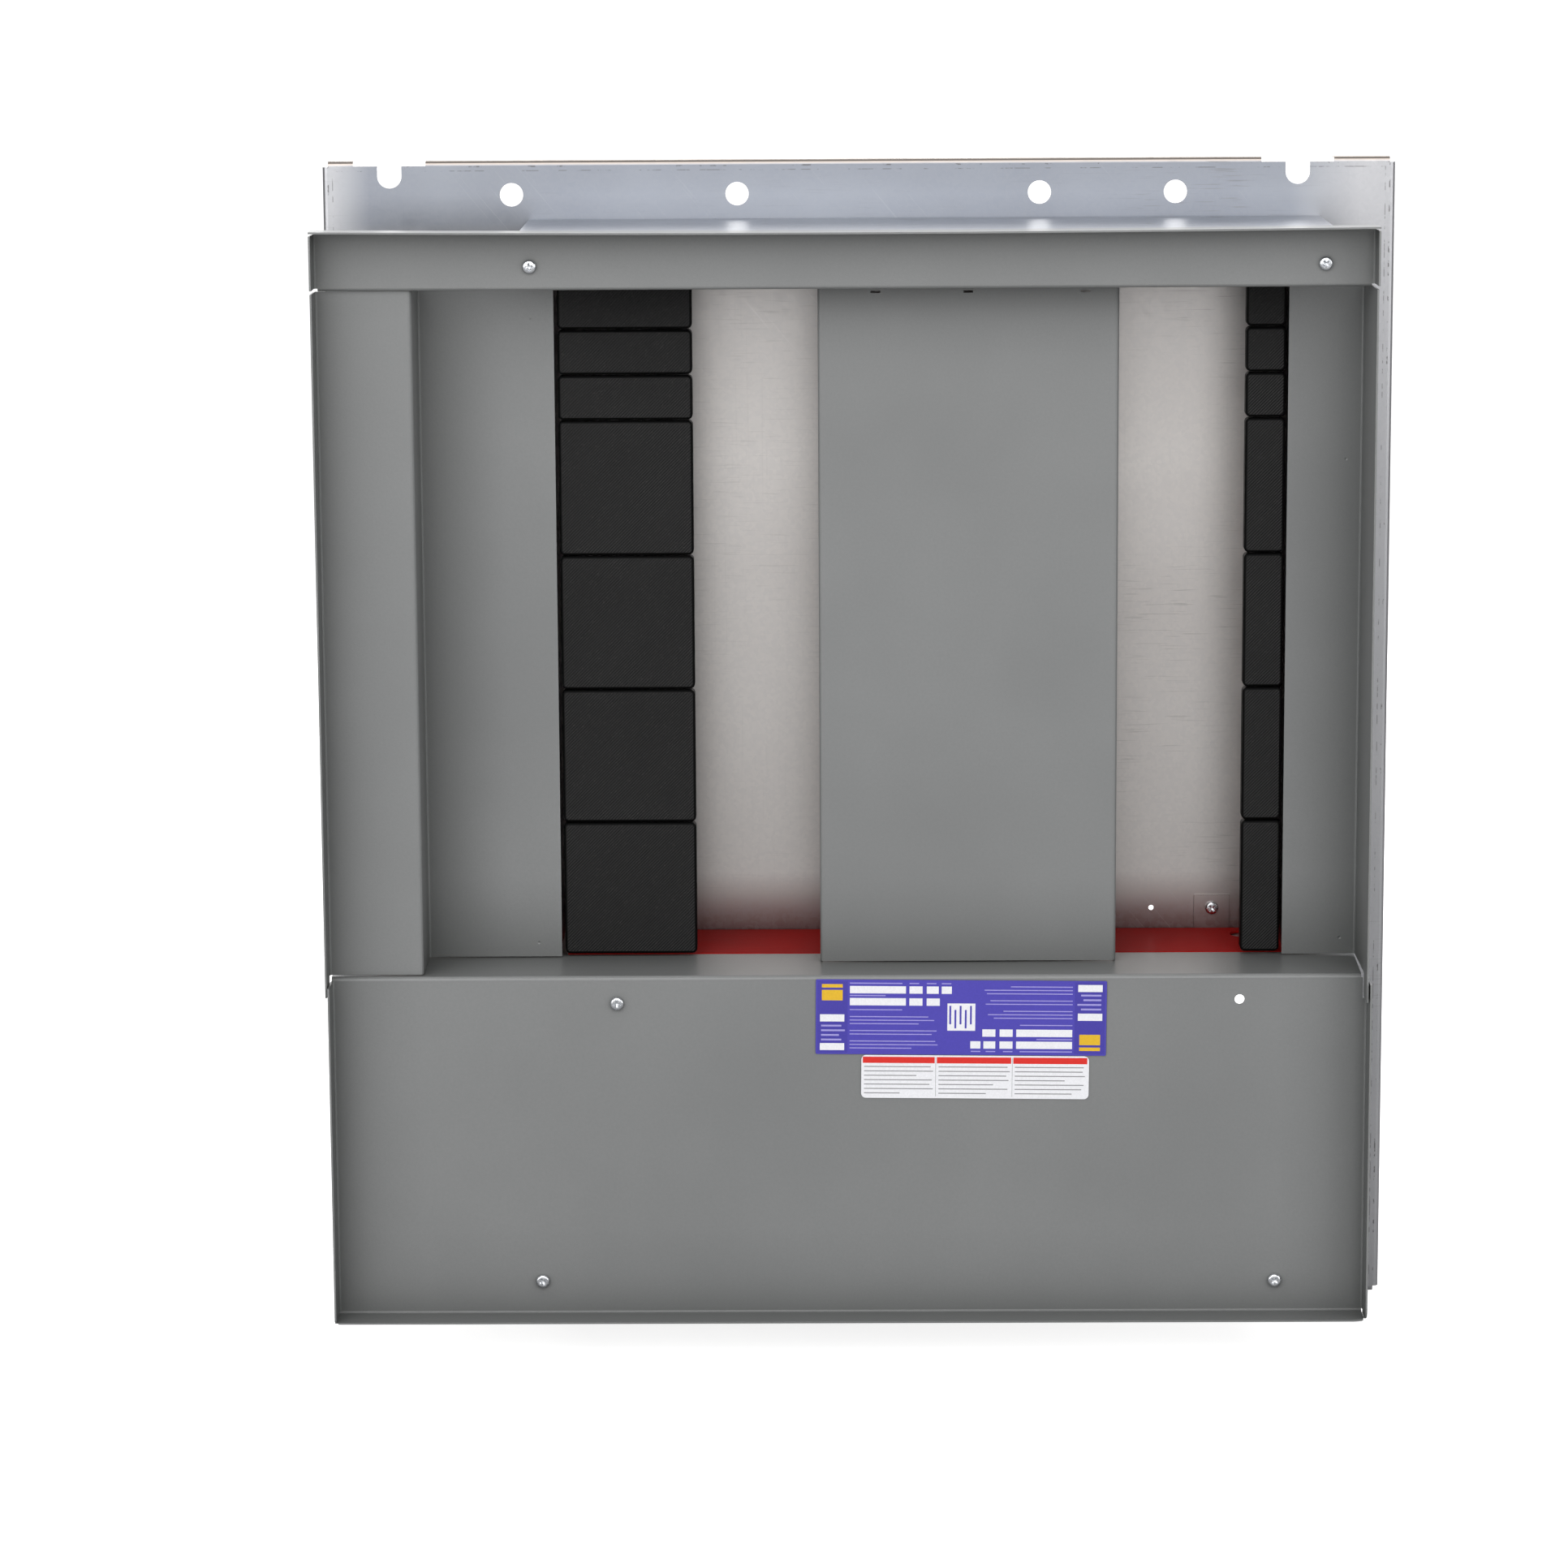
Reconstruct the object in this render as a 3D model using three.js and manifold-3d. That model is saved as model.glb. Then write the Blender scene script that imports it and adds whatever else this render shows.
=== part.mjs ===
// Panelboard interior with its deadfront covers: a galvanized back pan, formed brackets,
// a stacked bus with main lugs and a neutral, moulded filler blanks, and painted covers
// that pull off to the front.  Millimetres, +Z up, front towards -Y.
//
// The pieces are laid out on a bench frame whose Y = 0 is the front of the covers, Z = 0
// a little above the lower edge of the pan and X = 0 midway between the two mounting slots.
// The whole group is then moved so that the origin lies on the pan's rear face, midway
// between the two mounting slots, at the height of the studs that hang in them.

import * as THREE from 'three';
import { mergeVertices } from 'three/addons/utils/BufferGeometryUtils.js';
import Module from 'manifold-3d';

const wasm = await Module();
wasm.setup();

// ---- driving dimensions ----------------------------------------------------------------

const POLE_PITCH = 38.1;           // one breaker pole, and the height of a small blank
const BLANK_POLES = [1, 1, 1, 3, 3, 3, 3]; // blanks of one column, from the top down
const BLANK_GAP = 1.0;             // between neighbouring blanks
const COLUMN_BOTTOM = 327.6;       // lower end of the blank columns

const PAN_LEFT = -444.2;           // the pan is 36 inch wide and sits off centre
const PAN_WIDTH = 914.4;
const PAN_TOP = 995.0;
const PAN_BOTTOM = -4.7;
const PAN_T = 1.9;
const PAN_FRONT_Y = 188.0;
const PAN_REAR_Y = PAN_FRONT_Y + PAN_T;
const PAN_LIP = 19.0;              // rearward lips all round
const PAN_BEND = 2.2;              // inside radius of their bends
const LIP_RISE = 4.4;              // the top lips stand this far above the flat slot tongues
const SLOT_X = 387.0;              // mounting slots, from the middle
const SLOT_WIDTH = 20.8;
const SLOT_DROP = 12.8;            // stud centre below the top of the lips
const SLOT_CLEAR = 31.0;           // the top lip stops this far from a slot's middle
const STUD_Z = PAN_TOP - SLOT_DROP;
const LOWER_STUD_Z = 34.0;
const PAN_HOLES_Z = 966.0;         // a row of large holes along the pan's top
const PAN_HOLES_X = [-283, -90.5, 167.2, 283];
const PAN_HOLE_R = 10.0;
const PILOT_HOLE = { x: 266.8, z: 343.0, r: 2.3 };
const LOW_PAN_HOLE = { x: 345.0, z: 260.6, r: 7.0 };

const COVER_T = 1.5;               // painted sheet
const COVER_LIP = 30.0;            // forward lips of the bottom cover
const TRIM_LIP = 27.0;             // forward lips of the trim and side covers
const TRIM_HALF = 435.7;
const TRIM_BOTTOM = 899.9;
const TRIM_TOP = 950.3;
const TRIM_SAG = 2.2;              // the long top lip hangs a little in the middle
const COVER_BOTTOM = 31.3;
const LEDGE_TOP = 324.9;
const LEDGE_DEPTH = 87.0;
const COVER_LEFT = -433.2;
const COVER_RIGHT = 437.5;
const SIDE_BOTTOM = 326.0;         // lower end of the side and centre covers
const SIDE_TOP = 899.6;
const LEFT_TAIL = 13.0;            // the side lips run on below, past the ledge
const RIGHT_TAIL = 20.0;
const DIMPLE_R = 4.0;              // round dents pressed into the recessed strips
const SIDE_OUT_LEFT = -435.4;
const SIDE_OUT_RIGHT = 434.8;
const RAISED_Y = 4.0;              // front of the raised left strip
const STRIP_Y = 75.0;              // front of the recessed strips
const CENTRE_Y = 52.0;             // front of the centre cover
const CENTRE_LEFT = -22.0;
const CENTRE_WIDTH = 250.3;
const CENTRE_RETURN = 15.0;

const BRACKET_T = 1.9;             // galvanized brackets
const RAIL_T = 1.5;
const BRACKET_LEFT = -268.5;
const BRACKET_RIGHT = 406.0;
const BRACKET_FRONT_Y = 2.9;       // mid-thickness of the flanges behind the covers
const FOOT_Y = PAN_FRONT_Y - 0.3;  // rear faces of everything that stands on the pan
const LOWER_BRACKET_HALF = 16.0;   // half the width of the two short brackets at the bottom

const BLANK_Y = 78.0;              // front of the blanks
const BLANK_DEPTH = 14.0;
const BLANK_WALL = 2.2;
const BLANK_LEG_REACH = 34.0;      // the legs end this far behind the blanks' front
const VENT = { size: 3.6, pitch: 6.4, count: 4, setback: 5, groups: [0.24, 0.62] };
const LEFT_BLANKS = { left: -239.7, width: 112.5, legs: [-205, -176], vents: true };
const RIGHT_BLANKS = { left: 335.8, width: 33.2, legs: [356.5], vents: false };

const BAR_T = 6.35;                // copper phase bars
const BAR_WIDTH = 60.0;
const BAR_X = 103.0;               // middle of the bus stack
const BAR_YS = [96.0, 122.0, 148.0];
const BAR_TOP = 872.0;
const LUG_TOP = 245.0;             // top of the lug pads
const LUG_PAD = { width: 70.0, height: 110.0 };
const PHASE_PITCH = 92.0;          // between neighbouring main lugs
const PHASES = [
  { tag: 'a', x: BAR_X - PHASE_PITCH },
  { tag: 'b', x: BAR_X },
  { tag: 'c', x: BAR_X + PHASE_PITCH },
];
const LUG = { width: 64.0, depth: 34.0, bore: 12.0, spread: 16.0, bolts: 20.0 };
const SUPPORT_HEIGHT = 36.0;
const SUPPORT_ZS = { top: 826, middle: 594, bottom: 362 };
const NEUTRAL = { x: -325, y: 128, low: 400, high: 800, width: 26, depth: 16, wires: 12 };

const BARRIER_T = 2.0;
const BARRIER_TOP = 325.4;
const BARRIER_FRONT_Y = LEDGE_DEPTH + 0.8;
const BARRIER_LEFT = -238.0;
const BARRIER_RIGHT = 409.0;
const BARRIER_NOTCH_Y = 158.0;     // rear of the notch that lets the phase bars through
const BARRIER_HOLE = { x: 348.4, y: 159.4, r: 15 };
const TAB_WIDTH = 31.0;
const TAB_TOP = 354.7;
const TAB_XS = [-184.0, 26.0, 319.5];
const TAB_SCREW_Z = 343.2;

const SCREW = { shank: 2.4, head: 5.85, dome: 3.4, hole: 2.8 };
const TRIM_SCREWS = [[-257.6, 919.5], [393.7, 919.0]];
const COVER_SCREWS = [[-192.9, 301.6], [-258.5, 60.6], [361.5, 59.6]];
const SPARE_HOLE = [329.6, 303.3]; // a fourth screw position, left open
const SPARE_HOLE_R = 4.2;
const SPARE_CLEARANCE = 5.4;       // the same position in the bracket behind
const RATING_LABEL = { left: -26.0, bottom: 256.4, width: 244.0, height: 64.2, corner: 1.2, tilt: 0.6 };
const NOTICE_LABEL = { left: 12.0, bottom: 218.6, width: 191.5, height: 37.0, corner: 4.0, tilt: 0.6 };

// ---- finishes --------------------------------------------------------------------------

const finish = (color, roughness, metalness) =>
  new THREE.MeshStandardMaterial({ color, roughness, metalness });
const greyPaint = finish(0x828784, 0.45, 0.1);
const galvanized = finish(0xa9abb0, 0.38, 0.85);
const blackPlastic = finish(0x232222, 0.55, 0.0);
const redBoard = finish(0x9c2420, 0.28, 0.0);
const zinc = finish(0xc4c6c8, 0.25, 1.0);
const copper = finish(0xb9825a, 0.35, 1.0);
const tinned = finish(0xb7b9ba, 0.4, 0.9);
const brownMoulding = finish(0x5c1f1a, 0.5, 0.0);
const purpleLabel = finish(0x544caa, 0.35, 0.0);
const whiteLabel = finish(0xe4e3df, 0.4, 0.0);

// ---- solids and booleans ---------------------------------------------------------------

function solid(geometry) {
  const bare = geometry.clone();
  bare.deleteAttribute('normal');
  bare.deleteAttribute('uv');
  const merged = mergeVertices(bare, 1e-4);
  return new wasm.Manifold(new wasm.Mesh({
    numProp: 3,
    vertProperties: new Float32Array(merged.attributes.position.array),
    triVerts: new Uint32Array(merged.index.array),
  }));
}

function geometryOf(body) {
  const mesh = body.getMesh();
  const geometry = new THREE.BufferGeometry();
  geometry.setAttribute('position', new THREE.BufferAttribute(mesh.vertProperties, 3));
  geometry.setIndex(new THREE.BufferAttribute(mesh.triVerts, 1));
  geometry.computeVertexNormals();
  return geometry;
}

const join = (...bodies) => bodies.reduce((sum, body) => sum.add(body));
const cut = (body, ...tools) => tools.reduce((left, tool) => left.subtract(tool), body);

function box(x0, x1, y0, y1, z0, z1) {
  const block = new THREE.BoxGeometry(x1 - x0, y1 - y0, z1 - z0);
  block.translate((x0 + x1) / 2, (y0 + y1) / 2, (z0 + z1) / 2);
  return solid(block);
}

// An outline swept straight along one axis.  Its two coordinates are (y, z) along X,
// (x, z) along Y and (x, y) along Z.
const AXES = {
  x: [new THREE.Vector3(0, 1, 0), new THREE.Vector3(0, 0, 1), new THREE.Vector3(1, 0, 0)],
  y: [new THREE.Vector3(1, 0, 0), new THREE.Vector3(0, 0, 1), new THREE.Vector3(0, -1, 0)],
  z: [new THREE.Vector3(1, 0, 0), new THREE.Vector3(0, 1, 0), new THREE.Vector3(0, 0, 1)],
};

function sweep(shape, axis, from, to, options = {}) {
  const swept = new THREE.ExtrudeGeometry(shape, {
    depth: to - from, bevelEnabled: false, curveSegments: 3, ...options,
  });
  swept.applyMatrix4(new THREE.Matrix4().makeBasis(...AXES[axis]));
  const start = axis === 'y' ? to : from;
  const shift = { x: 0, y: 0, z: 0, [axis]: start };
  swept.translate(shift.x, shift.y, shift.z);
  return swept;
}

const prism = (shape, axis, from, to, options) => solid(sweep(shape, axis, from, to, options));

function polygon(points) {
  return new THREE.Shape(points.map(([a, b]) => new THREE.Vector2(a, b)));
}

function roundedRect(left, bottom, width, height, radius) {
  const right = left + width;
  const top = bottom + height;
  const quarter = Math.PI / 2;
  const shape = new THREE.Shape();
  shape.absarc(right - radius, bottom + radius, radius, -quarter, 0, false);
  shape.absarc(right - radius, top - radius, radius, 0, quarter, false);
  shape.absarc(left + radius, top - radius, radius, quarter, 2 * quarter, false);
  shape.absarc(left + radius, bottom + radius, radius, 2 * quarter, 3 * quarter, false);
  return shape;
}

function drill(x, z, radius, y0, y1, sides = 16) {
  const rod = new THREE.CylinderGeometry(radius, radius, y1 - y0, sides);
  rod.translate(0, (y0 + y1) / 2, 0);
  rod.translate(x, 0, z);
  return solid(rod);
}

// Outline of a bent sheet, from the line along the middle of its thickness.
function bentSheet(path, thickness, insideRadius = 1.6, steps = 3) {
  const points = path.map(([a, b]) => new THREE.Vector2(a, b));
  const middle = insideRadius + thickness / 2;
  const stations = [];
  const leftOf = (d) => new THREE.Vector2(-d.y, d.x);
  const directions = points.slice(1).map((p, i) => p.clone().sub(points[i]).normalize());
  stations.push([points[0], leftOf(directions[0])]);
  for (let i = 1; i < points.length - 1; i += 1) {
    const before = directions[i - 1];
    const turn = Math.atan2(before.cross(directions[i]), before.dot(directions[i]));
    const side = Math.sign(turn);
    const tangent = middle * Math.tan(Math.abs(turn) / 2);
    const start = points[i].clone().addScaledVector(before, -tangent);
    const centre = start.clone().addScaledVector(leftOf(before), side * middle);
    for (let k = 0; k <= steps; k += 1) {
      const normal = leftOf(before).rotateAround(new THREE.Vector2(), (turn * k) / steps);
      stations.push([centre.clone().addScaledVector(normal, -side * middle), normal]);
    }
  }
  stations.push([points.at(-1), leftOf(directions.at(-1))]);
  const face = (side) => stations.map(([p, n]) => p.clone().addScaledVector(n, side * thickness / 2));
  return new THREE.Shape([...face(1), ...face(-1).reverse()]);
}

// Cuts the square corner at (a, b) back to a round one.  The sheet lies on the side of
// the corner that the two signs point to.
function cornerRound(a, b, radius, signA, signB) {
  const over = 2;
  const centreA = a + signA * radius;
  const centreB = b + signB * radius;
  const points = [[a - signA * over, b - signB * over], [centreA, b - signB * over]];
  const steps = 5;
  for (let k = 0; k <= steps; k += 1) {
    const angle = (k / steps) * (Math.PI / 2);
    const da = radius * Math.sin(angle);
    const db = radius * Math.cos(angle);
    points.push([centreA - signA * da, centreB - signB * db]);
  }
  points.push([a - signA * over, centreB]);
  return polygon(points);
}

// ---- back pan --------------------------------------------------------------------------

function mountingSlot(x) {
  const r = SLOT_WIDTH / 2;
  const over = 12;
  const outline = new THREE.Shape();
  outline.moveTo(x + r, STUD_Z + SLOT_DROP + over);
  outline.lineTo(x - r, STUD_Z + SLOT_DROP + over);
  outline.lineTo(x - r, STUD_Z);
  outline.absarc(x, STUD_Z, r, Math.PI, 2 * Math.PI, false);
  return prism(outline, 'y', PAN_FRONT_Y - 1, PAN_REAR_Y + PAN_LIP + 1, { curveSegments: 8 });
}

function backPan() {
  const lipEnd = PAN_FRONT_Y + PAN_LIP;
  const midY = PAN_FRONT_Y + PAN_T / 2;
  const right = PAN_LEFT + PAN_WIDTH;
  const half = PAN_T / 2;
  const corner = PAN_BEND + PAN_T + 0.8;
  const across = bentSheet([
    [PAN_LEFT + half, lipEnd], [PAN_LEFT + half, midY], [right - half, midY], [right - half, lipEnd],
  ], PAN_T, PAN_BEND);
  const [lowZ, highZ] = [PAN_BOTTOM + half, PAN_TOP - half];
  const upright = bentSheet(
    [[lipEnd, lowZ], [midY, lowZ], [midY, highZ], [lipEnd, highZ]], PAN_T, PAN_BEND);
  const sheet = join(
    prism(across, 'z', PAN_BOTTOM + corner, PAN_TOP - corner),
    prism(upright, 'x', PAN_LEFT + corner, right - corner));
  const openings = [];
  const tongues = [];
  const lipCut = PAN_TOP - corner;
  for (const x of [-SLOT_X, SLOT_X]) {
    const [from, to] = [x - SLOT_CLEAR, x + SLOT_CLEAR];
    openings.push(box(from, to, PAN_FRONT_Y - 1, lipEnd + 1, lipCut, PAN_TOP + 1));
    tongues.push(box(from, to, PAN_FRONT_Y, PAN_REAR_Y, lipCut - 1, PAN_TOP - LIP_RISE));
  }
  const lowerSlot = (x) => {
    const r = SLOT_WIDTH / 2;
    const shape = roundedRect(x - r, LOWER_STUD_Z - r, SLOT_WIDTH, SLOT_WIDTH + 9, r - 0.01);
    return prism(shape, 'y', PAN_FRONT_Y - 1, PAN_REAR_Y + 1, { curveSegments: 4 });
  };
  const punch = (x, z, radius, sides) =>
    drill(x, z, radius, PAN_FRONT_Y - 1, PAN_REAR_Y + 1, sides);
  return cut(
    join(cut(sheet, ...openings), ...tongues),
    mountingSlot(-SLOT_X), mountingSlot(SLOT_X), lowerSlot(-SLOT_X), lowerSlot(SLOT_X),
    ...PAN_HOLES_X.map((x) => punch(x, PAN_HOLES_Z, PAN_HOLE_R, 28)),
    ...TAB_XS.map((x) => punch(x, TAB_SCREW_Z, SCREW.hole, 12)),
    punch(PILOT_HOLE.x, PILOT_HOLE.z, PILOT_HOLE.r, 12),
    punch(LOW_PAN_HOLE.x, LOW_PAN_HOLE.z, LOW_PAN_HOLE.r, 20));
}

// ---- painted covers --------------------------------------------------------------------

// The trim's lip hangs along a shallow arc, deepest midway and nothing at the two ends.
function sagTopLip(geometry) {
  const position = geometry.attributes.position;
  for (let i = 0; i < position.count; i += 1) {
    const height = position.getZ(i);
    if (height > TRIM_TOP - 6) {
      const along = position.getX(i) / TRIM_HALF;
      position.setZ(i, height - TRIM_SAG * (1 - along * along));
    }
  }
  return geometry;
}

function topTrim() {
  const half = COVER_T / 2;
  const corner = 4.2;
  const profile = bentSheet(
    [[-TRIM_LIP, TRIM_TOP - half], [half, TRIM_TOP - half], [half, TRIM_BOTTOM + half],
      [14, TRIM_BOTTOM + half]], COVER_T);
  const long = sweep(profile, 'x', -TRIM_HALF + corner, TRIM_HALF - corner, { steps: 8 });
  const face = solid(sagTopLip(long));
  const sides = bentSheet(
    [[-TRIM_HALF + half, -TRIM_LIP], [-TRIM_HALF + half, half], [TRIM_HALF - half, half],
      [TRIM_HALF - half, -TRIM_LIP]], COVER_T);
  const ends = prism(sides, 'z', TRIM_BOTTOM + 2.4, TRIM_TOP - COVER_T - 2);
  const corners = [-1, 1].map((side) => {
    const [from, to] = [side * (TRIM_HALF - corner - 1), side * TRIM_HALF].sort((a, b) => a - b);
    return box(from, to, -TRIM_LIP, -3.4, TRIM_TOP - COVER_T, TRIM_TOP);
  });
  const holes = TRIM_SCREWS.map(([x, z]) => drill(x, z, SCREW.hole, -1, COVER_T + 1));
  return cut(join(face, ends, ...corners), ...holes);
}

function bottomCover() {
  const half = COVER_T / 2;
  const profile = bentSheet(
    [[-COVER_LIP, COVER_BOTTOM + half], [half, COVER_BOTTOM + half], [half, LEDGE_TOP - half],
      [LEDGE_DEPTH, LEDGE_TOP - half]], COVER_T);
  const face = prism(profile, 'x', COVER_LEFT + half, COVER_RIGHT - half - 1.4);
  const sides = bentSheet(
    [[COVER_LEFT + half, -COVER_LIP], [COVER_LEFT + half, half], [COVER_RIGHT - half, half],
      [COVER_RIGHT - half, -COVER_LIP]], COVER_T);
  const ends = prism(sides, 'z', COVER_BOTTOM + 3.2, LEDGE_TOP - 3.4);
  const lowCorner = (x) => box(x, x + COVER_T, -COVER_LIP, -3, COVER_BOTTOM, COVER_BOTTOM + 4);
  const backOff = 4.6;
  const ledgeEnd = polygon([
    [COVER_RIGHT - backOff - 1.6, -0.2], [COVER_RIGHT - backOff, LEDGE_DEPTH + 1],
    [COVER_RIGHT + 1, LEDGE_DEPTH + 1], [COVER_RIGHT + 1, -0.2],
  ]);
  const [bigRound, smallRound] = [11, 4];
  const rounds = [
    prism(cornerRound(-COVER_LIP, COVER_BOTTOM, bigRound, 1, 1), 'x', COVER_RIGHT - 3, COVER_RIGHT + 1),
    prism(cornerRound(COVER_RIGHT, -COVER_LIP, bigRound, -1, 1), 'z', COVER_BOTTOM - 1, COVER_BOTTOM + 2),
    prism(cornerRound(-COVER_LIP, COVER_BOTTOM, smallRound, 1, 1), 'x', COVER_LEFT - 1, COVER_LEFT + 3),
    prism(cornerRound(COVER_LEFT, -COVER_LIP, smallRound, 1, 1), 'z', COVER_BOTTOM - 1, COVER_BOTTOM + 2),
  ];
  const holes = COVER_SCREWS.map(([x, z]) => drill(x, z, SCREW.hole, -1, COVER_T + 1));
  // Relief for the right side cover's tail, which reaches down inside this cover's lip.
  const relief = box(SIDE_OUT_RIGHT - COVER_T - 0.5, SIDE_OUT_RIGHT + 0.5, -1, COVER_T + 1,
    SIDE_BOTTOM - RIGHT_TAIL - 2, LEDGE_TOP + 1);
  return cut(
    join(face, ends, lowCorner(COVER_LEFT), lowCorner(COVER_RIGHT - COVER_T)),
    ...rounds, ...holes, relief,
    prism(ledgeEnd, 'z', LEDGE_TOP - 3.3, LEDGE_TOP + 1),
    drill(...SPARE_HOLE, SPARE_HOLE_R, -1, COVER_T + 1));
}

// A shallow round dent in the front of a recessed strip.
function dimple(x, z) {
  const bowl = new THREE.SphereGeometry(DIMPLE_R, 10, 6);
  bowl.translate(x, STRIP_Y - DIMPLE_R * 0.9, z);
  return solid(bowl);
}

function leftSideCover() {
  const half = COVER_T / 2;
  const lipX = SIDE_OUT_LEFT + half;
  const raised = RAISED_Y + half;
  const strip = STRIP_Y + half;
  const step = -356.2;
  const stripEdge = -242.5;
  const profile = bentSheet([
    [lipX, -TRIM_LIP], [lipX, raised], [step + 0.3, raised], [step - 0.4, strip], [stripEdge, strip],
  ], COVER_T);
  const body = prism(profile, 'z', SIDE_BOTTOM, SIDE_TOP);
  const tail = box(
    SIDE_OUT_LEFT, SIDE_OUT_LEFT + COVER_T, -TRIM_LIP, -1, SIDE_BOTTOM - LEFT_TAIL, SIDE_BOTTOM + 1);
  return cut(join(body, tail), dimple(-262, SIDE_BOTTOM + 12), dimple(-262, SIDE_TOP - 30));
}

function rightSideCover() {
  const half = COVER_T / 2;
  const lipX = SIDE_OUT_RIGHT - half;
  const strip = STRIP_Y + half;
  const stripEdge = 371;
  const profile = bentSheet([[stripEdge, strip], [lipX, strip], [lipX, -TRIM_LIP]], COVER_T);
  const body = prism(profile, 'z', SIDE_BOTTOM, SIDE_TOP);
  const tail = box(
    SIDE_OUT_RIGHT - COVER_T, SIDE_OUT_RIGHT, -TRIM_LIP, -1, SIDE_BOTTOM - RIGHT_TAIL, SIDE_BOTTOM + 1);
  return cut(join(body, tail), dimple(420, SIDE_BOTTOM + 14), dimple(420, SIDE_TOP - 150));
}

function centreCover() {
  const half = COVER_T / 2;
  const right = CENTRE_LEFT + CENTRE_WIDTH;
  const rear = CENTRE_Y + CENTRE_RETURN;
  const profile = bentSheet(
    [[CENTRE_LEFT + half, rear], [CENTRE_LEFT + half, CENTRE_Y + half], [right - half, CENTRE_Y + half],
      [right - half, rear]], COVER_T);
  const tabSlots = [26, 103, 200].map((x) =>
    box(x - 4, x + 4, CENTRE_Y - 1, CENTRE_Y + COVER_T + 1, SIDE_TOP - 7.5, SIDE_TOP - 5.5));
  return cut(prism(profile, 'z', SIDE_BOTTOM, SIDE_TOP), ...tabSlots);
}

// ---- filler blanks ---------------------------------------------------------------------

function blank({ left, width, legs, vents }, bottom, height) {
  const bevel = 1.6;
  const outline = roundedRect(left + bevel, bottom + bevel, width - 2 * bevel, height - 2 * bevel, 2.2);
  const block = prism(outline, 'y', BLANK_Y + bevel, BLANK_Y + BLANK_DEPTH + 4, {
    curveSegments: 2, bevelEnabled: true, bevelThickness: bevel, bevelSize: bevel, bevelSegments: 2,
  });
  const inner = box(left + BLANK_WALL, left + width - BLANK_WALL, BLANK_Y + BLANK_WALL,
    BLANK_Y + BLANK_DEPTH + 8, bottom + BLANK_WALL, bottom + height - BLANK_WALL);
  const rear = box(left - 1, left + width + 1, BLANK_Y + BLANK_DEPTH, BLANK_Y + BLANK_DEPTH + 8,
    bottom - 1, bottom + height + 1);
  const shell = cut(block, inner, rear);
  const middle = bottom + height / 2;
  const feet = legs.map((x) =>
    box(x - 1.5, x + 1.5, BLANK_Y + 1, BLANK_Y + BLANK_LEG_REACH, middle - 6, middle + 6));
  return cut(join(shell, ...feet), ...(vents ? ventCuts(left, width, bottom, height) : []));
}

// Groups of square vents, cut through the upper and the lower wall of a blank.
function ventCuts(left, width, bottom, height) {
  const { size, pitch, count, setback, groups } = VENT;
  const front = BLANK_Y + setback;
  const cuts = [];
  for (const group of groups) {
    for (let i = 0; i < count; i += 1) {
      const x = left + width * group + (i - 1) * pitch;
      cuts.push(box(x, x + size, front, front + size, bottom - 1, bottom + height + 1));
    }
  }
  return cuts;
}

// Lower end and height of each blank in a column, from the top one down.
function blankSpans() {
  const poles = BLANK_POLES.reduce((sum, count) => sum + count, 0);
  let bottom = COLUMN_BOTTOM + poles * POLE_PITCH;
  return BLANK_POLES.map((count) => {
    bottom -= count * POLE_PITCH;
    return { bottom, height: count * POLE_PITCH - BLANK_GAP };
  });
}

const blankColumn = (outline, column) => blankSpans().map(({ bottom, height }, i) =>
  [`${column}_blank_${i + 1}`, blank(outline, bottom, height), blackPlastic]);

// Heights of the blanks' middles, where their legs reach back through the rails.
const legHeights = () => blankSpans().map(({ bottom, height }) => bottom + height / 2);

// ---- rails behind the blanks and the recessed strips -----------------------------------

function fillerRail(path, legs) {
  const front = BLANK_Y + BLANK_DEPTH;
  const windows = legs.flatMap((x) => legHeights().map((z) =>
    box(x - 2.6, x + 2.6, front - 1, front + 6, z - 7.5, z + 7.5)));
  return cut(prism(bentSheet(path, RAIL_T), 'z', SIDE_BOTTOM + 4, SIDE_TOP - 4), ...windows);
}

function leftFillerRail() {
  const foot = FOOT_Y - RAIL_T / 2;
  const front = BLANK_Y + BLANK_DEPTH + 1.2;
  return fillerRail([[-200, foot], [-227, foot], [-227, front], [-160, front]], LEFT_BLANKS.legs);
}

function rightFillerRail() {
  const foot = FOOT_Y - RAIL_T / 2;
  const front = BLANK_Y + BLANK_DEPTH + 1.2;
  return fillerRail([[350, front], [366, front], [366, foot], [352, foot]], RIGHT_BLANKS.legs);
}

function coverRail(edge, bend, foot) {
  const rear = FOOT_Y - RAIL_T / 2;
  const front = STRIP_Y + COVER_T + 0.6 + RAIL_T / 2;
  const path = [[edge, front], [bend, front], [bend, rear], [foot, rear]];
  return prism(bentSheet(path, RAIL_T), 'z', SIDE_BOTTOM + 4, SIDE_TOP - 4);
}

// ---- brackets on the pan ---------------------------------------------------------------

function screwHoles(places, y) {
  return places.map(([x, z]) => drill(x, z, SCREW.hole, y - 3, y + 3, 12));
}

function upperBracket() {
  const rear = FOOT_Y - BRACKET_T / 2;
  const top = 944.05;
  const profile = bentSheet(
    [[BRACKET_FRONT_Y, 908], [BRACKET_FRONT_Y, top], [rear, top], [rear, 918]], BRACKET_T, 2);
  const body = prism(profile, 'x', BRACKET_LEFT, BRACKET_RIGHT);
  return cut(body, ...screwHoles(TRIM_SCREWS, BRACKET_FRONT_Y));
}

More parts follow.
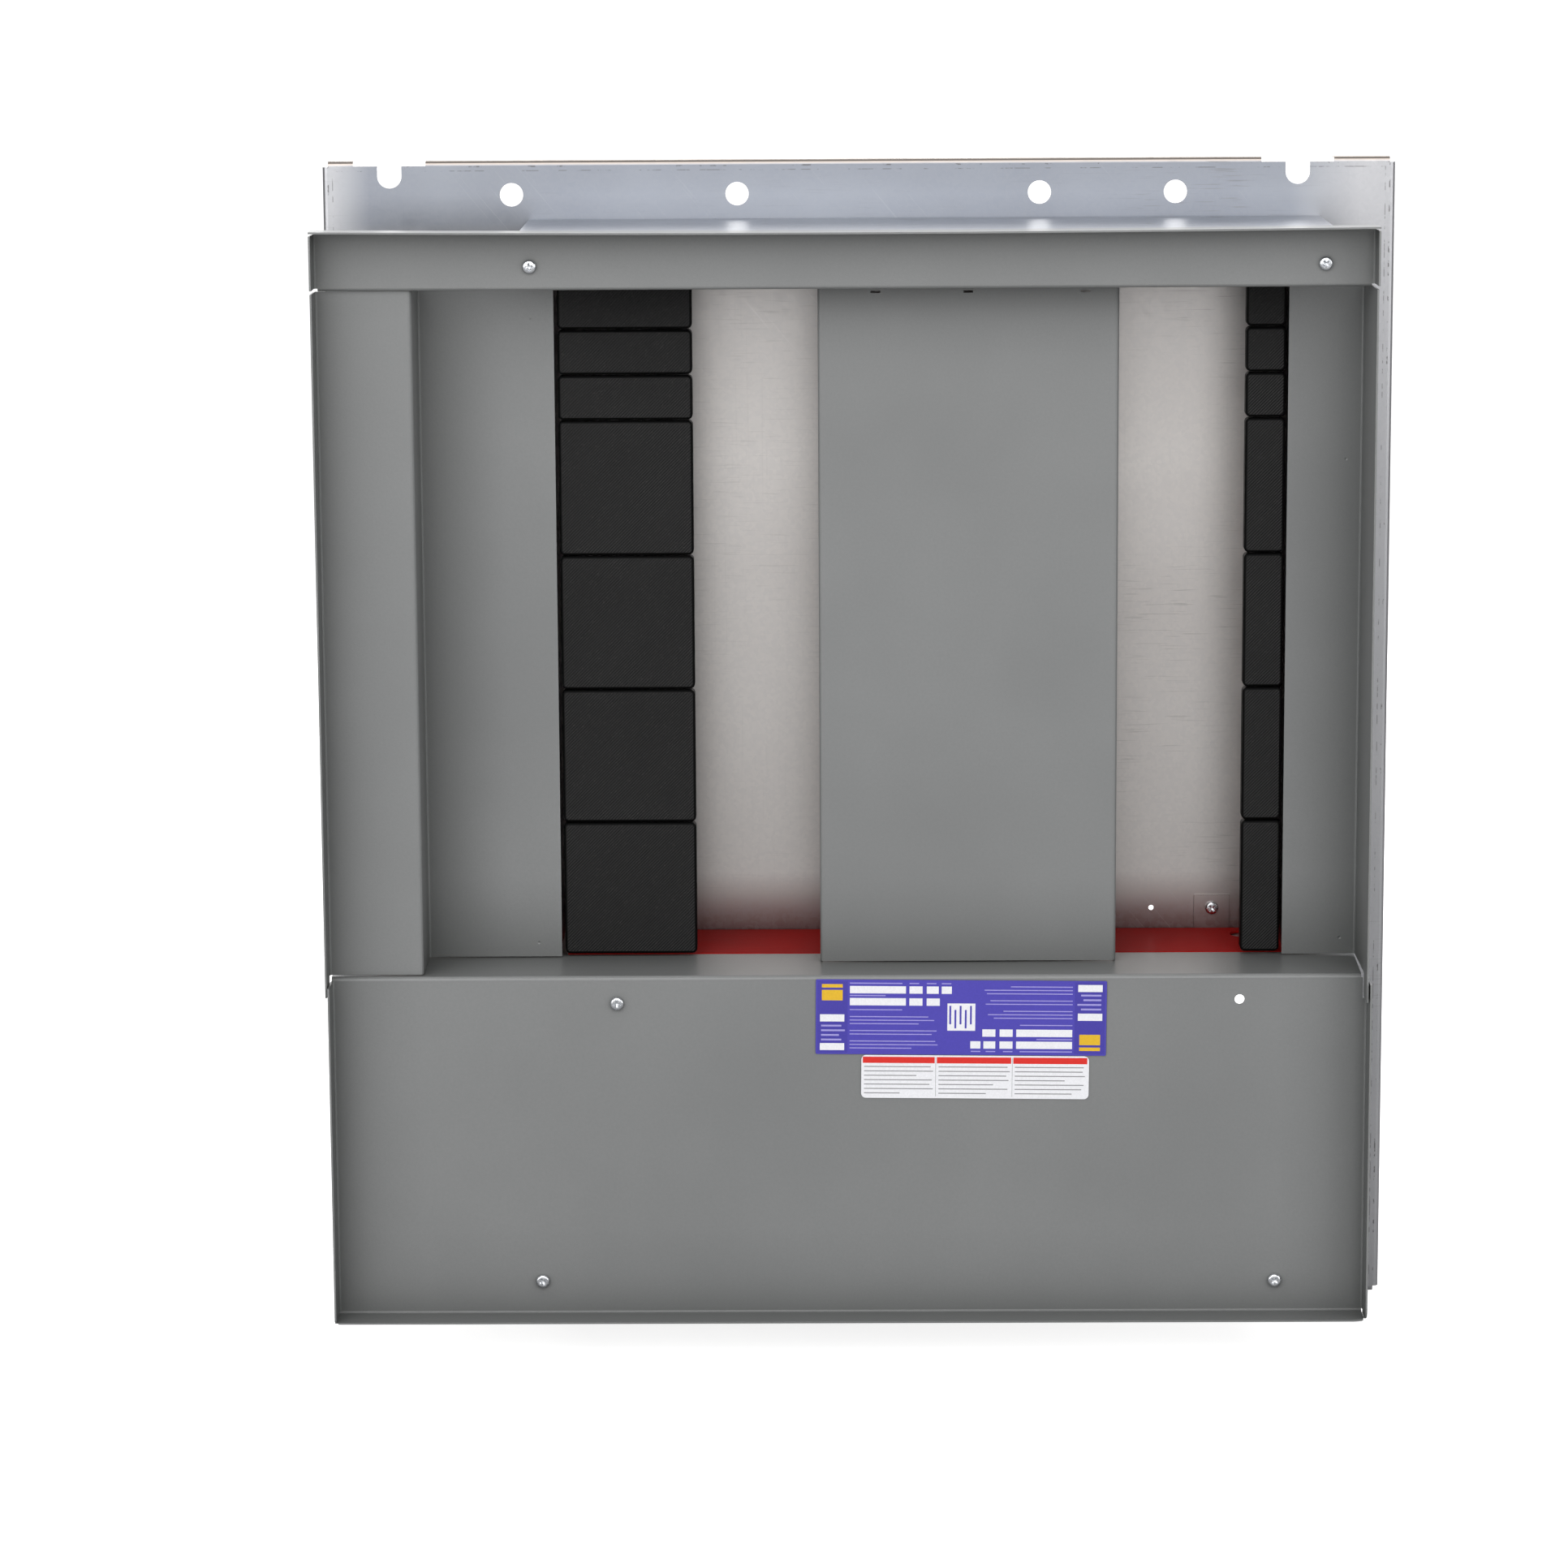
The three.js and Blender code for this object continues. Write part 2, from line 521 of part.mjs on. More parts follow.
function middleBracket() {
  const rear = FOOT_Y - BRACKET_T / 2;
  const shelf = LEDGE_TOP - COVER_T - 0.6 - BRACKET_T / 2;
  const body = bentSheet(
    [[BRACKET_FRONT_Y, 284], [BRACKET_FRONT_Y, shelf], [rear - 4, shelf]], BRACKET_T, 2);
  const tabShape = bentSheet([[rear - 30, shelf], [rear, shelf], [rear, TAB_TOP]], BRACKET_T, 0.6);
  const tabs = TAB_XS.map((x) => prism(tabShape, 'x', x - TAB_WIDTH / 2, x + TAB_WIDTH / 2));
  const window = box(BAR_X - 43, BAR_X + 43, 84, 164, shelf - 4, shelf + 4);
  const sheet = cut(prism(body, 'x', BRACKET_LEFT, BRACKET_RIGHT), window);
  return cut(
    join(sheet, ...tabs),
    ...screwHoles([COVER_SCREWS[0]], BRACKET_FRONT_Y),
    drill(...SPARE_HOLE, SPARE_CLEARANCE, BRACKET_FRONT_Y - 3, BRACKET_FRONT_Y + 3),
    ...screwHoles(TAB_XS.map((x) => [x, TAB_SCREW_Z]), rear));
}

function lowerBracket([x, z]) {
  const rear = FOOT_Y - BRACKET_T / 2;
  const floor = 44;
  const profile = bentSheet(
    [[BRACKET_FRONT_Y, 78], [BRACKET_FRONT_Y, floor], [rear, floor], [rear, 74]], BRACKET_T, 2);
  const body = prism(profile, 'x', x - LOWER_BRACKET_HALF, x + LOWER_BRACKET_HALF);
  return cut(body, ...screwHoles([[x, z]], BRACKET_FRONT_Y));
}

function barrier() {
  const rear = FOOT_Y - BRACKET_T - 0.5;
  const notch = BAR_WIDTH / 2 + 6;
  const outline = polygon([
    [BARRIER_LEFT, BARRIER_FRONT_Y], [BAR_X - notch, BARRIER_FRONT_Y], [BAR_X - notch, BARRIER_NOTCH_Y],
    [BAR_X + notch, BARRIER_NOTCH_Y], [BAR_X + notch, BARRIER_FRONT_Y], [BARRIER_RIGHT, BARRIER_FRONT_Y],
    [BARRIER_RIGHT, rear], [BARRIER_LEFT, rear]]);
  const hole = new THREE.Path();
  hole.absarc(BARRIER_HOLE.x, BARRIER_HOLE.y, BARRIER_HOLE.r, 0, 2 * Math.PI, true);
  outline.holes.push(hole);
  return prism(outline, 'z', BARRIER_TOP - BARRIER_T, BARRIER_TOP, { curveSegments: 14 });
}

// ---- bus, lugs and neutral -------------------------------------------------------------

// The two bolt holes that a lug and the pad behind it share.
function lugBolts(x, from, to) {
  return [-LUG.bolts, LUG.bolts].map((dx) => drill(x + dx, LUG_TOP - 12, 5.2, from, to, 12));
}

// A flat bar that runs down the stack, steps sideways and ends in a lug pad.
function phaseBar({ x }, y) {
  const left = BAR_X - BAR_WIDTH / 2;
  const right = BAR_X + BAR_WIDTH / 2;
  const padLeft = x - LUG_PAD.width / 2;
  const padRight = x + LUG_PAD.width / 2;
  const low = LUG_TOP - LUG_PAD.height;
  const step = LUG_TOP + 4;
  const plateOf = (x0, x1, z0, z1) => box(x0, x1, y - BAR_T / 2, y + BAR_T / 2, z0, z1);
  const stem = plateOf(left, right, step, BAR_TOP);
  const arm = plateOf(Math.min(left, padLeft), Math.max(right, padRight), step, step + 50);
  const pad = plateOf(padLeft, padRight, low, step + 50);
  return cut(join(stem, arm, pad), ...lugBolts(x, y - BAR_T, y + BAR_T));
}

// Moulded support: three slots hold the bars apart, and the nose carries the centre cover.
function busSupport(z) {
  const half = BAR_WIDTH / 2;
  const nose = CENTRE_Y + COVER_T + 0.5;
  const [low, high] = [z - 1, z + SUPPORT_HEIGHT + 1];
  const block = box(BAR_X - half - 22, BAR_X + half + 22, nose, FOOT_Y, z, z + SUPPORT_HEIGHT);
  const slots = BAR_YS.map((y) =>
    box(BAR_X - half - 0.5, BAR_X + half + 0.5, y - BAR_T / 2 - 0.4, y + BAR_T / 2 + 0.4, low, high));
  const waist = [-1, 1].map((side) => {
    const [from, to] = [side * (half + 9), side * (half + 23)].sort((a, b) => a - b);
    return box(BAR_X + from, BAR_X + to, nose - 1, 165, low, high);
  });
  return cut(block, ...slots, ...waist);
}

const LUG_LOW = LUG_TOP - LUG_PAD.height + 4;
const LUG_SCREW_Z = LUG_LOW + 28;
const lugRear = (y) => y - BAR_T / 2 - 0.3;

// Two-barrel mechanical lug, its barrels open downwards and its screws facing front.
function mainLug({ x }, y) {
  const { width, depth, bore: radius, spread } = LUG;
  const high = LUG_TOP - 26;
  const rear = lugRear(y);
  const block = box(x - width / 2, x + width / 2, rear - depth, rear, LUG_LOW, high);
  const tongue = box(x - width / 2, x + width / 2, rear - 9, rear, high - 1, LUG_TOP - 1);
  const sides = [-spread, spread];
  const barrels = sides.map((dx) => {
    const bore = new THREE.CylinderGeometry(radius, radius, high - LUG_LOW + 4, 16);
    bore.rotateX(Math.PI / 2);
    bore.translate(x + dx, rear - depth / 2 - 1, (LUG_LOW + high) / 2 - 4);
    return solid(bore);
  });
  const front = rear - depth;
  const screwBores = sides.map((dx) => drill(x + dx, LUG_SCREW_Z, 7.6, front - 1, front + 8, 14));
  return cut(join(block, tongue), ...barrels, ...screwBores, ...lugBolts(x, rear - 12, rear + 1));
}

// Hexagon-socket set screw of a lug.
function setScrew(x, y, z) {
  const body = drill(x, z, 7.2, y, y + 7.5, 14);
  return cut(body, drill(x, z, 4, y - 1, y + 5, 6));
}

function lugScrews({ tag, x }, y) {
  const front = lugRear(y) - LUG.depth + 0.2;
  return [-LUG.spread, LUG.spread].map((dx, i) =>
    [`lug_screw_${tag}${i + 1}`, setScrew(x + dx, front, LUG_SCREW_Z), zinc]);
}

function neutralBar() {
  const { x, y, low, high, width, depth, wires } = NEUTRAL;
  const bar = box(x - width / 2, x + width / 2, y - depth / 2, y + depth / 2, low, high);
  const wireHoles = [];
  for (let i = 0; i < wires; i += 1) {
    const z = low + 40 + (i * (high - low - 80)) / (wires - 1);
    const bore = new THREE.CylinderGeometry(4, 4, width + 4, 8);
    bore.rotateZ(Math.PI / 2);
    bore.translate(x, y, z);
    wireHoles.push(solid(bore));
  }
  return cut(bar, ...wireHoles);
}

function neutralStandoff(z) {
  const rear = FOOT_Y;
  const front = NEUTRAL.y + NEUTRAL.depth / 2 + 0.3;
  const profile = [[0, 0], [19, 0], [19, 6], [13, 10], [13, 18], [17, 22], [17, 30], [13, 34],
    [13, rear - front - 2], [12, rear - front], [0, rear - front]];
  const post = new THREE.LatheGeometry(profile.map(([r, h]) => new THREE.Vector2(r, h)), 14);
  post.rotateX(Math.PI);
  post.translate(NEUTRAL.x, rear, z);
  return solid(post);
}

function neutralLug() {
  const { x, y, low, depth } = NEUTRAL;
  const front = y - depth / 2 - 0.3;
  const block = box(x - 20, x + 20, front - 32, front, low + 2, low + 34);
  const bore = new THREE.CylinderGeometry(10, 10, 40, 16);
  bore.rotateX(Math.PI / 2);
  bore.translate(x, front - 16, low + 18);
  return cut(block, solid(bore), drill(x, low + 18, 6, front - 33, front - 24, 12));
}

// ---- screws and labels -----------------------------------------------------------------

// Pan-head screw with a cross recess, its head's seat just in front of y.
function crossScrew(x, z, y, length) {
  const { shank, head, dome } = SCREW;
  const seat = 0.3;
  const outline = [[0, -length], [shank, -length], [shank, seat], [head, seat], [head, seat + 0.9],
    [head * 0.86, dome - 0.6], [head * 0.55, dome], [0, dome + 0.2]];
  const turned = new THREE.LatheGeometry(outline.map(([r, h]) => new THREE.Vector2(r, h)), 14);
  turned.rotateX(Math.PI);
  turned.translate(x, y, z);
  const body = solid(turned);
  const long = 3.1;
  const narrow = 0.55;
  const depth = y - dome + 1.4;
  return cut(body,
    box(x - long, x + long, y - dome - 2, depth, z - narrow, z + narrow),
    box(x - narrow, x + narrow, y - dome - 2, depth, z - long, z + long));
}

// A stuck-on label, turned about its middle by the tilt in degrees, its right end down.
function label({ left, bottom, width, height, corner, tilt }) {
  const outline = roundedRect(-width / 2, -height / 2, width, height, corner);
  const film = sweep(outline, 'y', -0.65, -0.3);
  film.rotateY(THREE.MathUtils.degToRad(tilt));
  film.translate(left + width / 2, 0, bottom + height / 2);
  return solid(film);
}

// ---- assembly --------------------------------------------------------------------------

const assembly = new THREE.Group();
const bench = new THREE.Group();
bench.position.set(0, -PAN_REAR_Y, -STUD_Z);
assembly.add(bench);

function place(name, body, material) {
  const mesh = new THREE.Mesh(geometryOf(body), material);
  mesh.name = name;
  bench.add(mesh);
}

place('back_pan', backPan(), galvanized);
place('upper_bracket', upperBracket(), galvanized);
place('middle_bracket', middleBracket(), galvanized);
place('lower_bracket_left', lowerBracket(COVER_SCREWS[1]), galvanized);
place('lower_bracket_right', lowerBracket(COVER_SCREWS[2]), galvanized);
place('left_filler_rail', leftFillerRail(), galvanized);
place('right_filler_rail', rightFillerRail(), galvanized);
place('left_cover_rail', coverRail(-290, -244.6, -264), galvanized);
place('right_cover_rail', coverRail(398, 373.2, 391), galvanized);
place('barrier', barrier(), redBoard);
TAB_XS.forEach((x, i) => {
  place(`tab_screw_${i + 1}`, crossScrew(x, TAB_SCREW_Z, FOOT_Y - BRACKET_T, 12), zinc);
});

PHASES.forEach((phase, i) => {
  place(`phase_bar_${phase.tag}`, phaseBar(phase, BAR_YS[i]), copper);
  place(`main_lug_${phase.tag}`, mainLug(phase, BAR_YS[i]), tinned);
  lugScrews(phase, BAR_YS[i]).forEach((piece) => place(...piece));
});
for (const [level, z] of Object.entries(SUPPORT_ZS)) {
  place(`bus_support_${level}`, busSupport(z), brownMoulding);
}
place('neutral_bar', neutralBar(), tinned);
place('neutral_lug', neutralLug(), tinned);
place('neutral_standoff_upper', neutralStandoff(NEUTRAL.high - 22), brownMoulding);
place('neutral_standoff_lower', neutralStandoff(NEUTRAL.low + 22), brownMoulding);

place('top_trim', topTrim(), greyPaint);
place('bottom_cover', bottomCover(), greyPaint);
place('left_side_cover', leftSideCover(), greyPaint);
place('center_cover', centreCover(), greyPaint);
place('right_side_cover', rightSideCover(), greyPaint);
TRIM_SCREWS.forEach(([x, z], i) => place(`trim_screw_${i + 1}`, crossScrew(x, z, 0, 12), zinc));
COVER_SCREWS.forEach(([x, z], i) => place(`cover_screw_${i + 1}`, crossScrew(x, z, 0, 12), zinc));
place('rating_label', label(RATING_LABEL), purpleLabel);
place('notice_label', label(NOTICE_LABEL), whiteLabel);

for (const piece of [...blankColumn(LEFT_BLANKS, 'left'), ...blankColumn(RIGHT_BLANKS, 'right')]) {
  place(...piece);
}

export default assembly;
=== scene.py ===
import math

import bmesh
import bpy
from mathutils import Matrix, Vector


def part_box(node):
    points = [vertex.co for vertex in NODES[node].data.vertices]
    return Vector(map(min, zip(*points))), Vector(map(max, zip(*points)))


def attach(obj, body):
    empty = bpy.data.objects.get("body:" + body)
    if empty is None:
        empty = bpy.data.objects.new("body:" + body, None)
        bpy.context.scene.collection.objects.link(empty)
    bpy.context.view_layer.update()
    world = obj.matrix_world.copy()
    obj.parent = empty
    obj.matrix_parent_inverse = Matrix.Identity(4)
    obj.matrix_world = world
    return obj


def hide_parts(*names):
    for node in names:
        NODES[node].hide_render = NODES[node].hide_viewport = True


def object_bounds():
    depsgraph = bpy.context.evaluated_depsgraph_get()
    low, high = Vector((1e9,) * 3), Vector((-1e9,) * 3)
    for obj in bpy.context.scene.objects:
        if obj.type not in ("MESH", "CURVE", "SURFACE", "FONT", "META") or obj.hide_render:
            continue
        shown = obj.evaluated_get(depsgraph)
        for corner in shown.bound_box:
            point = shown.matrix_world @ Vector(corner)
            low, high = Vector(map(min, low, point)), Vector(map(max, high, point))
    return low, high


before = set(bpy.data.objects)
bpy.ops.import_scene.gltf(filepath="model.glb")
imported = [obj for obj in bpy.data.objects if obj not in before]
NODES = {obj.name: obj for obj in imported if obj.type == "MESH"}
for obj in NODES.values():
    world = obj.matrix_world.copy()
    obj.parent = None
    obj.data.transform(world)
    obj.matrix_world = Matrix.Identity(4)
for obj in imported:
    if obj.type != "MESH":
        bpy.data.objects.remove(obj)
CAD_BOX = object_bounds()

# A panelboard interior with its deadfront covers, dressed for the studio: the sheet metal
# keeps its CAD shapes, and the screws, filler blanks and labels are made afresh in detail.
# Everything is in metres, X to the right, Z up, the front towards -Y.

MM = 0.001

PAINTED = ["top_trim", "bottom_cover", "left_side_cover", "center_cover", "right_side_cover"]
FORMED_STEEL = [
    "back_pan", "upper_bracket", "middle_bracket", "lower_bracket_left", "lower_bracket_right",
    "left_filler_rail", "right_filler_rail", "left_cover_rail", "right_cover_rail",
]
PHASES = ["a", "b", "c"]
LEVELS = ["top", "middle", "bottom"]
BLANKS_PER_COLUMN = 7

PAN_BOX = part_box("back_pan")
TRIM_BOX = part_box("top_trim")
BARRIER_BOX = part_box("barrier")
# Marks of the bending tools: inset from the pan's outer edges, half their width, where the noise
# breaks them and how dark they are.
PRESS_LINE = {"inset": 8.6 * MM, "half": 0.55 * MM, "start": 0.50, "strength": 0.55}
PRESS_SMEAR = {"inset": 4.9 * MM, "half": 0.8 * MM, "start": 0.58, "strength": 0.75}


# ---- colours and node helpers ----------------------------------------------------------------

MIX = {"share": 0, "first": 6, "second": 7, "result": 2}     # the Mix node's sockets for colour


def srgb(red, green, blue):
    """A colour given as 0 to 255 display values, as linear RGBA."""
    def linear(value):
        v = value / 255
        return v / 12.92 if v <= 0.04045 else ((v + 0.055) / 1.055) ** 2.4
    return (linear(red), linear(green), linear(blue), 1.0)


def feed(tree, socket, value):
    """Links a socket to another one, or sets it to a plain value."""
    if isinstance(value, bpy.types.NodeSocket):
        tree.links.new(value, socket)
    else:
        socket.default_value = value


def add_node(tree, kind, inputs=None, **settings):
    """A node with its settings, its sockets set to plain values or linked to other sockets."""
    made = tree.nodes.new(kind)
    for name, value in settings.items():
        setattr(made, name, value)
    for name, value in (inputs or {}).items():
        feed(tree, made.inputs[name], value)
    return made


def math_of(tree, operation, first, second=0.0, clamp=False):
    """The result of one sum on values or sockets."""
    return add_node(tree, "ShaderNodeMath", {0: first, 1: second},
                    operation=operation, use_clamp=clamp).outputs[0]


def spread(tree, value, low, high, to_low=0.0, to_high=1.0):
    """Maps low..high to to_low..to_high, and holds the ends."""
    return add_node(tree, "ShaderNodeMapRange", {
        "Value": value, "From Min": low, "From Max": high, "To Min": to_low, "To Max": to_high,
    }).outputs["Result"]


def blended(tree, share, first, second):
    """Colour first, going to second as share goes from 0 to 1."""
    made = add_node(tree, "ShaderNodeMix", {MIX["share"]: share, MIX["first"]: first, MIX["second"]: second},
                    data_type="RGBA", blend_type="MIX")
    return made.outputs[MIX["result"]]


def new_group(name, inputs, outputs):
    """An empty shader node group with the sockets named: its tree, its inputs and its outputs."""
    tree = bpy.data.node_groups.new(name, "ShaderNodeTree")
    kinds = {"value": "NodeSocketFloat", "vector": "NodeSocketVector", "colour": "NodeSocketColor"}
    for label, (kind, value) in inputs.items():
        socket = tree.interface.new_socket(label, in_out="INPUT", socket_type=kinds[kind])
        if value is not None:
            socket.default_value = value
    for label, kind in outputs.items():
        tree.interface.new_socket(label, in_out="OUTPUT", socket_type=kinds[kind])
    source = tree.nodes.new("NodeGroupInput")
    sink = tree.nodes.new("NodeGroupOutput")
    return tree, source.outputs, sink.inputs


def use_group(tree, group, inputs):
    """Places a shared effect in a material, with its own values: the effect's outputs."""
    made = tree.nodes.new("ShaderNodeGroup")
    made.node_tree = group
    for name, value in inputs.items():
        feed(tree, made.inputs[name], value)
    return made.outputs


# ---- shared effects --------------------------------------------------------------------------

def make_mottle():
    """Two sizes of soft cloudiness, for paint, metal and plastic alike."""
    tree, given, out = new_group("mottle", {
        "Vector": ("vector", None), "Scale": ("value", 8.0), "Fine": ("value", 60.0),
    }, {"Broad": "value", "Fine": "value"})
    broad = add_node(tree, "ShaderNodeTexNoise", {
        "Vector": given["Vector"], "Scale": given["Scale"], "Detail": 3.0, "Roughness": 0.55})
    fine = add_node(tree, "ShaderNodeTexNoise", {
        "Vector": given["Vector"], "Scale": given["Fine"], "Detail": 4.0, "Roughness": 0.6})
    tree.links.new(spread(tree, broad.outputs["Fac"], 0.3, 0.7), out["Broad"])
    tree.links.new(spread(tree, fine.outputs["Fac"], 0.3, 0.7), out["Fine"])
    return tree


def make_edge_wear():
    """Where sheet edges and corners are rubbed, broken up by noise."""
    tree, given, out = new_group("edge wear", {
        "Vector": ("vector", None), "Radius": ("value", 0.001), "Gain": ("value", 6.0),
        "Patches": ("value", 120.0),
    }, {"Mask": "value", "Whole": "value"})
    rounded = add_node(tree, "ShaderNodeBevel", {"Radius": given["Radius"]}, samples=4)
    face = add_node(tree, "ShaderNodeNewGeometry")
    same = add_node(tree, "ShaderNodeVectorMath",
                    {0: rounded.outputs["Normal"], 1: face.outputs["Normal"]}, operation="DOT_PRODUCT")
    bent = math_of(tree, "SUBTRACT", 1.0, same.outputs["Value"])
    strong = math_of(tree, "MULTIPLY", bent, given["Gain"], clamp=True)
    patches = add_node(tree, "ShaderNodeTexNoise", {
        "Vector": given["Vector"], "Scale": given["Patches"], "Detail": 3.0, "Roughness": 0.7})
    kept = spread(tree, patches.outputs["Fac"], 0.42, 0.62)
    tree.links.new(math_of(tree, "MULTIPLY", strong, kept), out["Mask"])
    tree.links.new(strong, out["Whole"])
    return tree


def make_scuffs():
    """Short straight rub marks: long along the axis with the small stretch, thin across the others."""
    tree, given, out = new_group("scuffs", {
        "Vector": ("vector", None), "Stretch": ("vector", (20.0, 20.0, 900.0)),
        "Turn": ("vector", (0.0, 0.0, 0.0)), "Start": ("value", 0.62), "Full": ("value", 0.72),
        "Where": ("value", 3.0),
    }, {"Mask": "value"})
    turned = add_node(tree, "ShaderNodeMapping", {
        "Vector": given["Vector"], "Rotation": given["Turn"], "Scale": (1.0, 1.0, 1.0)})
    stretched = add_node(tree, "ShaderNodeVectorMath",
                         {0: turned.outputs[0], 1: given["Stretch"]}, operation="MULTIPLY")
    lines = add_node(tree, "ShaderNodeTexNoise", {
        "Vector": stretched.outputs[0], "Scale": 1.0, "Detail": 2.0, "Roughness": 0.5})
    areas = add_node(tree, "ShaderNodeTexNoise", {
        "Vector": given["Vector"], "Scale": given["Where"], "Detail": 2.0, "Roughness": 0.5})
    thin = add_node(tree, "ShaderNodeMapRange", {
        "Value": lines.outputs["Fac"], "From Min": given["Start"], "From Max": given["Full"]})
    here = spread(tree, areas.outputs["Fac"], 0.45, 0.62)
    tree.links.new(math_of(tree, "MULTIPLY", thin.outputs[0], here), out["Mask"])
    return tree


def make_spangle():
    """Zinc crystals: a tone for each crystal and a soft height between them."""
    tree, given, out = new_group("spangle", {
        "Vector": ("vector", None), "Scale": ("value", 260.0), "Bend": ("value", 0.004),
    }, {"Tone": "value", "Height": "value"})
    warp = add_node(tree, "ShaderNodeTexNoise", {
        "Vector": given["Vector"], "Scale": 140.0, "Detail": 2.0})
    shift = add_node(tree, "ShaderNodeVectorMath",
                     {0: warp.outputs["Color"], "Scale": given["Bend"]}, operation="SCALE")
    moved = add_node(tree, "ShaderNodeVectorMath",
                     {0: given["Vector"], 1: shift.outputs[0]}, operation="ADD")
    cells = add_node(tree, "ShaderNodeTexVoronoi",
                     {"Vector": moved.outputs[0], "Scale": given["Scale"]}, feature="F1")
    parts = add_node(tree, "ShaderNodeSeparateColor", {"Color": cells.outputs["Color"]})
    tree.links.new(parts.outputs[0], out["Tone"])
    tree.links.new(cells.outputs["Distance"], out["Height"])
    return tree


def make_crevice_dust_and_shade():
    """Occlusion where surfaces meet: Mask is grime and painted shade, varied in patches; Painted shade is the
    same occlusion unbroken.
    """
    tree, given, out = new_group("crevice dust and shade", {
        "Vector": ("vector", None), "Reach": ("value", 0.012), "Patches": ("value", 45.0),
    }, {"Mask": "value", "Painted shade": "value"})
    closed = add_node(tree, "ShaderNodeAmbientOcclusion", {"Distance": given["Reach"]}, samples=4)
    dark = math_of(tree, "SUBTRACT", 1.0, closed.outputs["AO"])
    patches = add_node(tree, "ShaderNodeTexNoise", {
        "Vector": given["Vector"], "Scale": given["Patches"], "Detail": 4.0, "Roughness": 0.65})
    kept = spread(tree, patches.outputs["Fac"], 0.35, 0.65, 0.35, 1.0)
    tree.links.new(math_of(tree, "MULTIPLY", dark, kept, clamp=True), out["Mask"])
    tree.links.new(dark, out["Painted shade"])
    return tree


def make_ribbing():
    """Fine parallel ribs of a mould, leaning like a stroke of the pen, over a pebbled ground."""
    tree, given, out = new_group("moulded ribs", {
        "Vector": ("vector", None), "Pitch": ("value", 0.0027), "Pebble": ("value", 900.0),
    }, {"Height": "value", "Ribs": "value"})
    parts = add_node(tree, "ShaderNodeSeparateXYZ", {0: given["Vector"]})
    across = math_of(tree, "SUBTRACT", parts.outputs["X"], parts.outputs["Z"])
    turns = math_of(tree, "DIVIDE", across, given["Pitch"])
    angle = math_of(tree, "MULTIPLY", turns, 2 * math.pi)
    ribs = math_of(tree, "SINE", angle)
    pebble = add_node(tree, "ShaderNodeTexNoise", {
        "Vector": given["Vector"], "Scale": given["Pebble"], "Detail": 3.0})
    raised = spread(tree, ribs, -1.0, 1.0)
    both = math_of(tree, "ADD", raised, math_of(tree, "MULTIPLY", pebble.outputs["Fac"], 0.5))
    tree.links.new(both, out["Height"])
    tree.links.new(raised, out["Ribs"])
    return tree


MOTTLE = make_mottle()
EDGE_WEAR = make_edge_wear()
SCUFFS = make_scuffs()
SPANGLE = make_spangle()
CREVICE_DUST_AND_SHADE = make_crevice_dust_and_shade()
RIBBING = make_ribbing()


# ---- finishes --------------------------------------------------------------------------------

def new_finish(name, **plain):
    """A material with its shader's plain sockets set: the material, tree, shader and coordinates."""
    material = bpy.data.materials.new(name)
    material.use_nodes = True
    tree = material.node_tree
    shader = tree.nodes["Principled BSDF"]
    for label, value in plain.items():
        shader.inputs[label.replace("_", " ")].default_value = value
    place = add_node(tree, "ShaderNodeTexCoord").outputs["Object"]
    return material, tree, shader, place


def set_bump(tree, shader, height, depth, strength=1.0):
    """Raises the surface by a height mask, depth metres at most."""
    bump = add_node(tree, "ShaderNodeBump", {"Height": height, "Distance": depth, "Strength": strength})
    tree.links.new(bump.outputs["Normal"], shader.inputs["Normal"])


def grey_enamel():
    """Baked enamel on steel: faint orange peel, rubbed edges, a little dust in the folds, and painted shade
    in recesses and under lips.
    """
    material, tree, shader, place = new_finish("grey enamel", Metallic=0.0, IOR=1.5)
    cloud = use_group(tree, MOTTLE, {"Vector": place, "Scale": 5.0, "Fine": 420.0})
    tone = blended(tree, cloud["Broad"], srgb(118, 119, 119), srgb(124, 125, 125))
    speck = blended(tree, spread(tree, cloud["Fine"], 0.0, 1.0, 0.0, 0.22), tone, srgb(106, 109, 109))
    wear = use_group(tree, EDGE_WEAR, {"Vector": place, "Radius": 0.0012, "Gain": 5.0})
    rubbed = blended(tree, math_of(tree, "MULTIPLY", wear["Mask"], 0.3), speck, srgb(150, 153, 152))
    # Occlusion reaching 75 mm: its unbroken share is painted shade, its patchy share dust and painted shade
    # together.
    dust_and_shade = use_group(tree, CREVICE_DUST_AND_SHADE, {"Vector": place, "Reach": 0.075})
    # painted shade: recesses and the faces under lips go towards a dark grey
    film = math_of(tree, "MULTIPLY", dust_and_shade["Painted shade"], 1.2, clamp=True)
    with_painted_shade = blended(tree, film, rubbed, srgb(66, 68, 67))
    # dust and painted shade: the patchy occlusion, towards a greenish grey
    tree.links.new(blended(tree, math_of(tree, "MULTIPLY", dust_and_shade["Mask"], 0.25), with_painted_shade, srgb(92, 94, 90)),
                   shader.inputs["Base Color"])
    tree.links.new(spread(tree, cloud["Broad"], 0.0, 1.0, 0.30, 0.38), shader.inputs["Roughness"])
    peel = add_node(tree, "ShaderNodeTexNoise", {
        "Vector": place, "Scale": 420.0, "Detail": 2.0, "Roughness": 0.5})
    set_bump(tree, shader, peel.outputs["Fac"], 0.00005)
    return material


BAY_SHADE_REACH = 160 * MM         # how far down from the trim the bays are shaded
RED_REFLECTION_REACH = 50 * MM              # how far up from the barrier the steel gets the board's painted red reflection and shade
